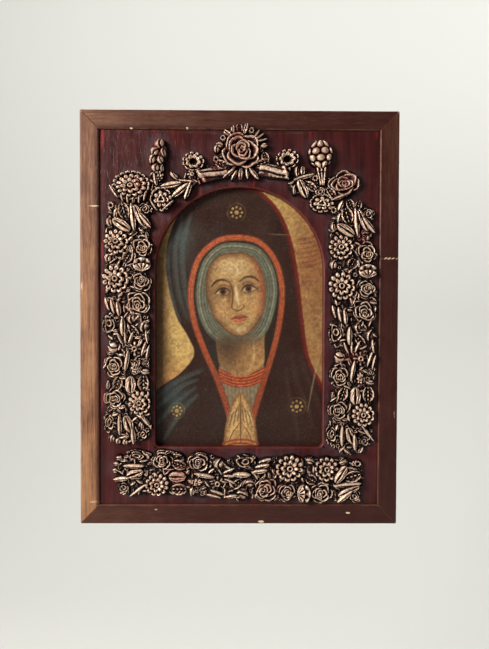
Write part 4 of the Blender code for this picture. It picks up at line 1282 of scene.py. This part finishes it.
def board():
    half_width = WIDTH / 2 - RAIL_FACE - GAP
    top, bottom = TOP - RAIL_FACE - GAP, TOP - HEIGHT + RAIL_FACE + GAP
    outer = [(-half_width, top), (half_width, top), (half_width, bottom), (-half_width, bottom)]
    lip = window_outline(LIP)
    across = np.arange(-half_width + 1, half_width - 0.5, BOARD_PITCH)
    down = np.arange(bottom + 1, top - 0.5, BOARD_PITCH)
    x, z = (a.ravel() for a in np.meshgrid(across, down))
    free = ~in_window(x, z, LIP + 0.8)
    spots = outer + lip + list(zip(x[free].tolist(), z[free].tolist()))
    ends = [(i, (i + 1) % 4) for i in range(4)]
    ends += [(4 + i, 4 + (i + 1) % len(lip)) for i in range(len(lip))]
    triangles = delaunay_2d_cdt(spots, ends, [], 1, 1e-7)[2]
    flat = np.array(spots)
    middles = flat[np.array(triangles)].mean(axis=1)
    keep = ~in_window(middles[:, 0], middles[:, 1], LIP * 0.98)
    front = [t for t, k in zip(triangles, keep) if k]
    points = [(px, BOARD_FRONT, pz) for px, pz in spots]
    faces = [tuple(t) for t in front]
    loop = list(range(4, 4 + len(lip)))
    for step in range(1, LIP_STEPS + 1):
        angle = math.pi / 2 * step / LIP_STEPS
        outline = window_outline(LIP * (1 - math.sin(angle)))
        depth = BOARD_FRONT + LIP * (1 - math.cos(angle))
        fresh = list(range(len(points), len(points) + len(outline)))
        points += [(px, depth, pz) for px, pz in outline]
        faces += ring_quads(fresh, loop)
        loop = fresh
    behind = list(range(len(points), len(points) + len(lip)))
    points += [(px, BOARD_BACK, pz) for px, pz in window_outline(0)]
    faces += ring_quads(behind, loop)
    far = list(range(len(points), len(points) + 4))
    points += [(px, BOARD_BACK, pz) for px, pz in outer]
    faces += ring_quads(far, [0, 1, 2, 3])
    back_spots = outer + window_outline(0)
    back = delaunay_2d_cdt(back_spots, ends, [], 1, 1e-7)[2]
    numbers = far + behind
    for t in back:
        middle = np.mean([back_spots[i] for i in t], axis=0)
        if not in_window(middle[0], middle[1], -0.05):
            faces.append((numbers[t[2]], numbers[t[1]], numbers[t[0]]))
    points = np.array(points)
    at_lip = np.zeros(len(points))
    at_lip[4 : 4 + len(lip)] = 0.5
    at_lip[4 + len(spots) - 4 : behind[0]] = 1.0
    values = {"dust": dust_beside(points[:, 0], points[:, 2]), "lip": at_lip}
    return points, faces, values


# %% Board finish
MAHOGANY = linear(76, 23, 21)
MAHOGANY_DARK = linear(42, 11, 10)
BRIGHT_RED = linear(140, 38, 32)
LIP_RED_AND_HIGHLIGHT = linear(112, 36, 28)


def board_material():
    material, tree, shader = start_material("mahogany paint")
    wood = use_group(tree, grain, Across=0.0)
    base = mixed(tree, spread(tree, wood["Streaks"], 0.3, 0.7), MAHOGANY_DARK, MAHOGANY)
    streak = noise(tree, coordinates(tree, (9, 9, 1)), 34.0, 3.0)
    base = mixed(tree, spread(tree, streak, 0.66, 0.76, 0.0, 0.7), base, BRIGHT_RED)
    lip = use_group(tree, rubbed, Edge=stored(tree, "lip"), Amount=0.5)["Mask"]
    # Lip: a lighter red along the window's edge, partly worn paint and partly a painted highlight
    base = mixed(tree, maths(tree, "MULTIPLY", lip, 0.55), base, LIP_RED_AND_HIGHLIGHT)
    amount = spread(tree, stored(tree, "dust"), 0.0, 1.0, 0.015, 0.22)
    dust = use_group(tree, dusty, Color=base, Film=linear(128, 124, 134), Amount=amount)
    rough = maths(tree, "ADD", spread(tree, wood["Streaks"], 0.3, 0.7, 0.30, 0.42), dust["Mask"])
    surface = maths(tree, "SUBTRACT", wood["Streaks"], maths(tree, "MULTIPLY", wood["Pores"], 0.6))
    wire(tree, shader, Base_Color=dust["Color"], Roughness=rough, Specular_IOR_Level=0.30)
    wire(tree, shader, Normal=bumped(tree, surface, 0.22))
    return material


points, faces, values = board()
make_piece("fine_board", points, faces, board_material(), "panel_board", values, crease=50)

# %% [markdown]
# ## The painting
# Behind the window sits a varnished painting on a thin panel: a veiled half figure in a
# dark mantle against worn gold, with joined hands. Such a picture is usually an image
# texture. Here it is painted onto the points of a half-millimetre mesh, stroke by stroke,
# because a mesh with stored colours needs no image file. Every shape is a smooth closed
# curve through a few points, and every shade is a soft mask laid over the last one.

# %% Painting tools
PAINT_PITCH = 0.5
PICTURE_FRONT = -23.2
PICTURE_BACK = -21.2
PICTURE_HALF = 61.0
PICTURE_TOP = WINDOW_SPRING + PICTURE_HALF
PICTURE_FOOT = WINDOW_FOOT - 8.0


def curve(points, closed=True, steps=7):
    """A smooth line through the points."""
    p = np.array(points, float)
    if closed:
        p = np.vstack((p[-1], p, p[0], p[1]))
    else:
        p = np.vstack((2 * p[0] - p[1], p, 2 * p[-1] - p[-2]))
    t = np.linspace(0, 1, steps, endpoint=False)[:, None]
    parts = []
    for a, b, c, d in zip(p, p[1:], p[2:], p[3:]):
        parts.append(0.5 * (2 * b + (c - a) * t + (2 * a - 5 * b + 4 * c - d) * t**2
                            + (3 * b - a - 3 * c + d) * t**3))
    line = np.vstack(parts)
    return line if closed else np.vstack((line, p[-2]))


class Canvas:
    """Points of the picture and the colour painted on each of them so far."""

    def __init__(self, x, z, ground):
        self.x, self.z = x, z
        self.colour = np.tile(np.array(ground, float) / 255, (len(x), 1))

    def lay(self, mask, colour):
        """Paints a screen colour where the mask is near 1."""
        mask = np.clip(mask, 0, 1)[:, None]
        self.colour = self.colour * (1 - mask) + np.array(colour, float) / 255 * mask

    def distance(self, line):
        """Distance to a line in millimetres, and how far along it the nearest point is."""
        a, b = line[:-1], line[1:]
        best, along = np.full(len(self.x), 1e9), np.zeros(len(self.x))
        for i, ((ax, az), (bx, bz)) in enumerate(zip(a, b)):
            length2 = max((bx - ax) ** 2 + (bz - az) ** 2, 1e-9)
            t = np.clip(((self.x - ax) * (bx - ax) + (self.z - az) * (bz - az)) / length2, 0, 1)
            far = np.hypot(self.x - ax - t * (bx - ax), self.z - az - t * (bz - az))
            along = np.where(far < best, (i + t) / len(a), along)
            best = np.minimum(best, far)
        return best, along

    def inside(self, points, soft=0.5):
        """A soft mask of the inside of a closed smooth outline, and the signed distance."""
        line = curve(points)
        loop = np.vstack((line, line[0]))
        far, _ = self.distance(loop)
        odd = np.zeros(len(self.x), bool)
        for (ax, az), (bx, bz) in zip(loop, loop[1:]):
            if az == bz:
                continue
            crosses = (az > self.z) != (bz > self.z)
            odd ^= crosses & (self.x < ax + (self.z - az) * (bx - ax) / (bz - az))
        signed = np.where(odd, far, -far)
        return smooth_step(signed, -soft, soft), signed

    def stroke(self, points, width, colour, opacity=1.0, soft=0.4, within=1.0):
        """A brush stroke that tapers towards both of its ends."""
        far, along = self.distance(curve(points, closed=False))
        taper = width * (0.25 + 0.75 * np.sin(math.pi * np.clip(along, 0.02, 0.98)) ** 0.6)
        mask = 1 - smooth_step(far, taper - soft, taper + soft)
        self.lay(mask * opacity * within, colour)

    def glow(self, x, z, width, height, colour, opacity, within=1.0):
        """A soft round light or shade."""
        far = ((self.x - x) / width) ** 2 + ((self.z - z) / height) ** 2
        self.lay(np.exp(-far) * opacity * within, colour)


print("painting tools ready")

# %% Ground and mantle
GOLD = (204, 166, 98)
across = np.arange(-PICTURE_HALF, PICTURE_HALF + 0.1, PAINT_PITCH)
down = np.arange(PICTURE_FOOT, PICTURE_TOP + 0.1, PAINT_PITCH)
grid_x, grid_z = np.meshgrid(across, down)
canvas = Canvas(grid_x.ravel(), grid_z.ravel(), GOLD)
x, z = canvas.x, canvas.z
broad, middling = soft_noise(x, z, 13.0, 70), soft_noise(x, z, 4.0, 71)
canvas.lay(0.25 + 0.3 * broad, (226, 190, 118))
canvas.lay(0.85 * smooth_step(x, 20, 44) * (0.8 + 0.3 * middling), (158, 108, 68))
canvas.lay(0.55 * smooth_step(-x - z / 9, 54, 66) * (0.8 + 0.3 * middling), (150, 100, 52))
# Painted shadow: a dark brown band along the left edge of the window, where the board's cut edge shades the picture
canvas.lay(0.8 * smooth_step(-x, 42, 53), (104, 70, 42))
canvas.glow(47, -92, 12, 20, (150, 88, 56), 0.5)
canvas.glow(-38, -172, 14, 12, (196, 128, 74), 0.6)
for row in range(7):
    start = -76 - 3.0 * row
    canvas.stroke([(36 + row % 3, start), (44, start + 0.8), (52, start + 3.0)], 0.45, (132, 62, 42), 0.6)

MANTLE = (44, 22, 18)
MANTLE_OUTLINE = (
    (-6, -42), (10, -44), (24, -56), (33, -76), (38, -102), (41, -128), (45, -152), (54, -170),
    (64, -192), (66, -216), (0, -222), (-66, -216), (-62, -188), (-52, -172), (-38, -162), (-29, -150),
    (-33, -138), (-40, -126), (-45, -108), (-47, -88), (-42, -66), (-30, -50), (-18, -44),
)
mantle, mantle_depth = canvas.inside(MANTLE_OUTLINE, 0.4)
canvas.lay(mantle, MANTLE)
canvas.lay(mantle * (0.25 + 0.35 * broad) * smooth_step(z, -120, -60), (76, 46, 36))
canvas.lay(mantle * smooth_step(x, 4, 46) * smooth_step(-z, 90, 150) * 0.55, (52, 20, 16))
canvas.lay(mantle * (1 - smooth_step(mantle_depth, 0.6, 4.0)) * smooth_step(x, -16, 16) * 0.85, (128, 32, 26))
FOLDS = (
    ((-43, -66), (-46, -90), (-43, -114), (-38, -128)), ((-37, -62), (-41, -84), (-39, -108), (-34, -126)),
    ((-31, -60), (-36, -80), (-35, -104), (-31, -128)), ((-53, -178), (-44, -170), (-33, -164), (-24, -160)),
    ((-55, -186), (-46, -178), (-36, -170), (-27, -166)), ((-54, -196), (-46, -187), (-37, -178), (-28, -171)),
    ((-48, -204), (-42, -194), (-35, -184), (-27, -176)), ((47, -196), (44, -182), (38, -168), (34, -154)),
    ((53, -190), (50, -178), (44, -164), (40, -150)), ((38, -204), (36, -190), (32, -174), (30, -158)),
)
for number, fold in enumerate(FOLDS):
    tint = (78, 104, 102) if number < 7 else (72, 48, 38)
    canvas.stroke(fold, 1.9, tint, 0.55, 1.5, mantle)
    canvas.stroke([(fx + 2.0, fz - 1.0) for fx, fz in fold], 0.5, (24, 20, 20), 0.7, 0.5, mantle)
canvas.glow(-36, -76, 7, 12, (70, 96, 94), 0.6, mantle)
canvas.glow(-42, -178, 10, 9, (62, 88, 90), 0.6, mantle)
print("ground and mantle painted on", len(x), "points")

# %% [markdown]
# The hood opens in an almond shape. An orange-red band edges it, and a grey-green
# under-veil lies inside the band in narrow folds. The tunic shows below with a collar of
# fine red bands.

# %% Hood opening, veil and tunic
OPENING = (
    (-2, -73), (13, -76), (24, -88), (29, -106), (28, -126), (24, -146), (18, -166), (11, -190),
    (6, -214), (-4, -214), (-8, -190), (-16, -166), (-24, -148), (-31, -128), (-33, -108), (-28, -88), (-16, -76),
)
opening, depth_in = canvas.inside(OPENING, 0.4)
BAND = 3.6
band = opening * (1 - smooth_step(depth_in, BAND - 0.4, BAND + 0.4))
canvas.lay(opening, (40, 30, 26))
canvas.lay(band, (176, 74, 44))
canvas.lay(band * (np.cos(depth_in * 2 * math.pi / 1.2) > 0.2) * 0.6, (222, 138, 78))
canvas.lay(band * (1 - smooth_step(depth_in, 0, 0.5)) * 0.8, (70, 26, 22))
canvas.lay(band * smooth_step(-z, 100, 175) * 0.35, (98, 36, 28))

NECK = ((-12, -128), (14, -126), (16, -142), (15, -158), (4, -166), (-8, -163), (-14, -150))
neck, _ = canvas.inside(NECK, 0.6)
canvas.lay(neck * opening, (182, 136, 84))
canvas.glow(-8, -144, 11, 14, (70, 50, 36), 0.85, neck)
canvas.glow(-1, -138, 15, 5.5, (66, 44, 32), 0.8, neck)
canvas.stroke(((9, -142), (9.5, -151), (6, -161)), 0.8, (222, 182, 122), 0.7, 0.8, neck)

TUNIC = ((-13, -158), (-4, -163), (6, -163), (16, -157), (14, -176), (9, -196), (4, -214), (-4, -214), (-9, -190))
tunic, _ = canvas.inside(TUNIC, 0.4)
tunic *= opening * smooth_step(depth_in, BAND, BAND + 0.6)
canvas.lay(tunic, (150, 132, 100))
canvas.lay(tunic * (0.5 + 0.5 * np.sin(x * 2.6 + z * 0.1)) * 0.45, (96, 84, 66))
sag = z + 164 - 0.022 * (x - 1) ** 2
collar = tunic * (sag > -7) * (1 - smooth_step(sag, 1.2, 2.0))
canvas.lay(collar, (150, 54, 36))
canvas.lay(collar * (np.cos(sag * 2 * math.pi / 1.9) > 0.35) * 0.75, (216, 128, 70))

VEIL = ((-2, -78), (12, -81), (21, -92), (24.5, -108), (22, -124), (17, -136), (8, -144), (-4, -146),
        (-17, -140), (-25, -128), (-28, -110), (-24, -91), (-14, -80))
veil, veil_depth = canvas.inside(VEIL, 0.4)
veil *= opening * smooth_step(z, -146, -132)
canvas.lay(veil, (122, 124, 102))
canvas.lay(veil * (0.5 + 0.5 * np.cos(veil_depth * 2 * math.pi / 1.7)) * 0.6, (66, 72, 62))
canvas.lay(veil * (1 - smooth_step(veil_depth, 0, 0.9)) * 0.7, (40, 38, 32))
canvas.lay(veil * (1 - smooth_step(np.abs(veil_depth - 2.2), 0.2, 0.7)) * 0.5, (178, 178, 146))

# %% [markdown]
# The face is plain and calm, on the proportions that drawing books teach: the eyes sit
# half-way down the head, the nose ends half-way between brows and chin, and the mouth a
# third of the way from there. It is built dark to light, as icon painters do: an ochre
# ground, soft brown shade, then lines, then thin lights.

# %% Face
FACE_PLACE = (-2.0, -111.5)
FACE_TILT = math.radians(7)
FLESH, SHADE, LINE, LIGHT = (200, 158, 100), (124, 84, 54), (58, 36, 28), (238, 208, 154)


def on_face(*points):
    """Turns points in the upright face's millimetres into the tilted face on the panel."""
    cos, sin = math.cos(FACE_TILT), math.sin(FACE_TILT)
    return [(FACE_PLACE[0] + a * cos - b * sin, FACE_PLACE[1] + a * sin + b * cos) for a, b in points]


right_side = ((0, 27), (9, 26), (16, 19), (19, 8), (18.6, -3), (15.6, -13), (10, -21.5), (4, -26))
left_side = tuple((-a, b) for a, b in right_side[:0:-1])
face, face_depth = canvas.inside(on_face(*right_side, (0, -27), *left_side), 0.4)
canvas.lay(face, FLESH)
u = ((x - FACE_PLACE[0]) * math.cos(FACE_TILT) + (z - FACE_PLACE[1]) * math.sin(FACE_TILT))
canvas.lay(face * (1 - smooth_step(face_depth, 0.2, 5.5)) * 0.85, SHADE)
canvas.lay(face * (1 - smooth_step(face_depth, 0.0, 1.4)) * 0.7, (74, 48, 34))
canvas.lay(face * smooth_step(-u, 6, 18) * 0.35, (110, 78, 52))
canvas.lay(face * smooth_step(u, 8, 18) * 0.45, (178, 88, 54))
for side in (-1, 1):
    (ex, ez), (cx, cz) = on_face((side * 8.2, 3.0), (side * 10.0, -8.0))
    canvas.glow(ex, ez, 6.4, 4.6, (122, 88, 58), 0.75, face)
    canvas.glow(cx, cz, 4.6, 5.4, (222, 168, 106), 0.7, face)
    canvas.stroke(on_face((side * 2.8, 8.2), (side * 7.5, 10.6), (side * 12.0, 10.0), (side * 15.4, 6.8)), 0.75, LINE, 0.9, 0.5)
    canvas.stroke(on_face((side * 4.0, 6.0), (side * 8.2, 7.3), (side * 12.8, 5.0)), 0.4, (96, 62, 42), 0.8)
    white, _ = canvas.inside(on_face((side * 3.9, 2.4), (side * 6.2, 4.6), (side * 9.4, 4.9), (side * 12.9, 2.6),
                                     (side * 9.4, 0.9), (side * 6.0, 0.9)), 0.35)
    canvas.lay(white, (204, 178, 136))
    (ix, iz), = on_face((side * 8.2, 3.0))
    far = np.hypot(x - ix, z - iz)
    canvas.lay(white * (1 - smooth_step(far, 1.9, 2.4)), (86, 54, 34))
    canvas.lay(white * (1 - smooth_step(far, 0.7, 1.2)), (26, 18, 16))
    canvas.stroke(on_face((side * 3.4, 2.2), (side * 6.0, 4.8), (side * 9.6, 5.2), (side * 13.9, 2.2)), 0.65, LINE, 0.95, 0.4)
    canvas.stroke(on_face((side * 4.2, 1.9), (side * 7.4, 0.4), (side * 12.4, 1.9)), 0.35, (98, 62, 42), 0.8)
    canvas.stroke(on_face((side * 5.4, -1.2), (side * 8.6, -2.2), (side * 12.0, -1.2)), 0.4, LIGHT, 0.45, 0.6)
canvas.glow(*on_face((0, 17))[0], 9, 5.5, LIGHT, 0.65, face)
canvas.glow(*on_face((-4.2, 0))[0], 2.0, 9, (126, 86, 56), 0.65, face)
canvas.stroke(on_face((-2.9, 8.4), (-2.0, 2), (-2.9, -4), (-3.9, -7.6), (-2.6, -9.4)), 0.5, (88, 54, 38), 0.85, 0.4)
canvas.stroke(on_face((0.2, 8), (0.3, 0), (0.5, -6.5)), 1.0, LIGHT, 0.85, 0.6)
canvas.stroke(on_face((-2.6, -9.2), (0, -10.2), (2.6, -9.2)), 0.5, (92, 52, 38), 0.85, 0.4)
canvas.stroke(on_face((2.4, -9.4), (4.0, -8.2), (3.6, -6.2)), 0.4, (110, 66, 46), 0.8, 0.4)
canvas.stroke(on_face((-0.7, -11.2), (-0.5, -12.6)), 0.5, SHADE, 0.5, 0.5)
canvas.stroke(on_face((-5.4, -15.0), (-1.6, -13.7), (0, -14.2), (1.6, -13.7), (5.4, -15.0)), 0.9, (158, 66, 48), 0.9, 0.4)
canvas.stroke(on_face((-4.2, -16.0), (0, -17.0), (4.2, -16.0)), 1.1, (196, 98, 68), 0.9, 0.5)
canvas.stroke(on_face((-5.8, -15.1), (-2, -14.9), (0, -15.3), (2, -14.9), (5.8, -15.1)), 0.35, (82, 32, 28), 0.9, 0.3)
canvas.stroke(on_face((-3.0, -18.6), (0, -19.2), (3.0, -18.6)), 0.7, SHADE, 0.7, 0.7)
canvas.glow(*on_face((0, -22.4))[0], 4.0, 2.6, LIGHT, 0.55, face)
print("face painted")

# %% Hands, ornaments and age
HANDS = ((-9, -216), (-9.5, -203), (-7.5, -190), (-4, -180), (-0.5, -174.5), (2.5, -174.5), (6, -180),
         (9.5, -190), (11.5, -203), (11, -216))
hands, hands_depth = canvas.inside(HANDS, 0.4)
canvas.lay(hands, (206, 160, 98))
canvas.lay(hands * (1 - smooth_step(hands_depth, 0.2, 2.4)) * 0.75, (128, 84, 50))
for side in (-1, 1):
    for finger in range(3):
        out = 1.9 + 2.2 * finger
        line = [(1 + side * out * 0.45, -180 - 2.6 * finger), (1 + side * out * 0.8, -188), (1 + side * out * 1.2, -197)]
        canvas.stroke(line, 0.35, (104, 66, 42), 0.8, 0.35, hands)
        canvas.stroke([(a + side * 0.9, b) for a, b in line], 0.45, LIGHT, 0.55, 0.5, hands)
    canvas.stroke([(1 + side * 8, -206), (1 + side * 5, -199), (1 + side * 1.6, -193)], 1.3, (224, 180, 116), 0.9, 0.5, hands)
    canvas.stroke([(1 + side * 8, -207.6), (1 + side * 5.4, -200.8), (1 + side * 1.0, -194)], 0.35, (96, 58, 38), 0.8, 0.3, hands)
canvas.stroke([(1, -175), (1, -190), (1, -206)], 0.45, (86, 52, 36), 0.9, 0.35, hands)
for rise in (0, 2.4):
    cuff = (1 - smooth_step(np.abs(z + 206.8 - rise + 0.02 * (x - 1) ** 2), 0.5, 0.9)) * (np.abs(x - 1) < 12)
    canvas.lay(cuff * 0.9, (170, 70, 42))


def rosette_of_dots(place, radius):
    """A small gilt ornament: a ring of dots round one larger dot."""
    for number in range(9):
        angle = number * math.pi / 4
        far_out = radius if number else 0
        dot_x, dot_z = place[0] + far_out * math.cos(angle), place[1] + far_out * math.sin(angle)
        size = 0.8 if number else 1.4
        near = 1 - smooth_step(np.hypot(x - dot_x, z - dot_z), size - 0.3, size + 0.3)
        canvas.lay(near * (0.75 + 0.2 * middling), (208, 172, 104))
    ring = np.abs(np.hypot(x - place[0], z - place[1]) - 1.7 * radius)
    canvas.lay((1 - smooth_step(ring, 0.1, 0.5)) * 0.55 * (0.6 + 0.5 * middling), (176, 140, 84))


rosette_of_dots((-2, -59), 3.4)
rosette_of_dots((37, -183), 3.4)
rosette_of_dots((-40, -186), 3.0)
canvas.lay(0.14 + 0.16 * soft_noise(x, z, 1.3, 72), (44, 26, 16))
canvas.stroke([(18, -72.6), (32, -73.2)], 0.3, (190, 160, 120), 0.5, 0.3)
canvas.stroke([(44, -186), (49, -160), (53, -146)], 0.5, (170, 150, 110), 0.6, 0.4)


# %% [markdown]
# The painted points become a thin panel. Old varnish has darkened unevenly and broken
# into a net of fine cracks, and flecks of gold still shine through the worn ground.

# %% Picture panel
def picture_material():
    material, tree, shader = start_material("varnished picture")
    paint = stored(tree, "paint", "Color")
    where = coordinates(tree)
    bent = add(tree, "ShaderNodeVectorMath", {0: where}, operation="ADD")
    wander = add(tree, "ShaderNodeTexNoise", {"Vector": where, "Scale": 120.0, "Detail": 3.0})
    shift = add(tree, "ShaderNodeVectorMath", {0: wander.outputs["Color"], "Scale": 0.004}, operation="SCALE")
    tree.links.new(shift.outputs["Vector"], bent.inputs[1])
    inputs = {"Vector": bent.outputs["Vector"], "Scale": 720.0}
    cells = add(tree, "ShaderNodeTexVoronoi", inputs, feature="DISTANCE_TO_EDGE").outputs["Distance"]
    crack = spread(tree, cells, 0.0, 0.11, 1.0, 0.0)
    worn = use_group(tree, uneven, Scale=45.0, Low=0.35, High=0.7)["Mask"]
    crack = maths(tree, "MULTIPLY", crack, spread(tree, worn, 0.0, 1.0, 0.15, 0.60))
    base = mixed(tree, crack, paint, linear(40, 28, 22))
    fleck = spread(tree, noise(tree, where, 2400.0, 3.0, 0.7), 0.58, 0.70)
    base = mixed(tree, maths(tree, "MULTIPLY", fleck, 0.15), base, linear(228, 186, 116))
    grime = spread(tree, noise(tree, where, 1700.0, 2.0, 0.7), 0.60, 0.74)
    base = mixed(tree, maths(tree, "MULTIPLY", grime, 0.4), base, linear(52, 34, 24))
    height = maths(tree, "SUBTRACT", noise(tree, where, 900.0), crack)
    wire(tree, shader, Base_Color=base, Roughness=spread(tree, worn, 0.0, 1.0, 0.30, 0.50))
    wire(tree, shader, Specular_IOR_Level=0.35, Coat_Weight=0.12, Coat_Roughness=0.22, Normal=bumped(tree, height, 0.18))
    return material


rows, columns = grid_x.shape
index = np.arange(rows * columns).reshape(rows, columns)
front = np.stack((index[:-1, :-1], index[:-1, 1:], index[1:, 1:], index[1:, :-1]), -1).reshape(-1, 4)
brushwork = 0.05 * (1 + soft_noise(x, z, 2.4, 73)) * (0.5 + 0.5 * soft_noise(x, z, 0.9, 74))
points = np.stack((x, PICTURE_FRONT + np.abs(brushwork), z), -1)
rim = list(index[0]) + list(index[1:, -1]) + list(index[-1, -2::-1]) + list(index[-2:0:-1, 0])
back = points[rim].copy()
back[:, 1] = PICTURE_BACK
base = len(points)
walls = [(rim[i], rim[i - 1], base + (i - 1) % len(rim), base + i) for i in range(len(rim))]
points = np.vstack((points, back))
faces = front.tolist() + walls + [tuple(range(base + len(rim) - 1, base - 1, -1))]
screen = np.vstack((canvas.colour, np.full((len(rim), 3), 0.3)))
light = np.where(screen < 0.04045, screen / 12.92, ((screen + 0.055) / 1.055) ** 2.4)
make_piece("painting", points, faces, picture_material(), "picture_panel",
           colours=light, crease=50)

# %% [markdown]
# ## The back
# A bare thin board closes the box from behind. Nobody sees it on the wall, so its solid
# stays as it is and only takes a finish: pale sawn wood with darker streaks and pores.

# %% Back board
def back_material():
    material, tree, shader = start_material("bare back board")
    wood = use_group(tree, grain, Across=1.0)
    base = mixed(tree, wood["Streaks"], linear(122, 92, 62), linear(176, 144, 104))
    base = mixed(tree, maths(tree, "MULTIPLY", wood["Pores"], 0.6), base, linear(84, 60, 40))
    dust = use_group(tree, dusty, Color=base, Film=linear(150, 144, 136), Amount=0.3)
    rough = spread(tree, wood["Streaks"], 0.3, 0.7, 0.62, 0.80)
    surface = maths(tree, "SUBTRACT", wood["Streaks"], wood["Pores"])
    wire(tree, shader, Base_Color=dust["Color"], Roughness=rough)
    wire(tree, shader, Normal=bumped(tree, surface, 0.35))
    return material


back_board = bpy.data.objects["back_board"]
back_board.data.materials.clear()
back_board.data.materials.append(back_material())
print("back board:", back_board.data.materials[0].name)
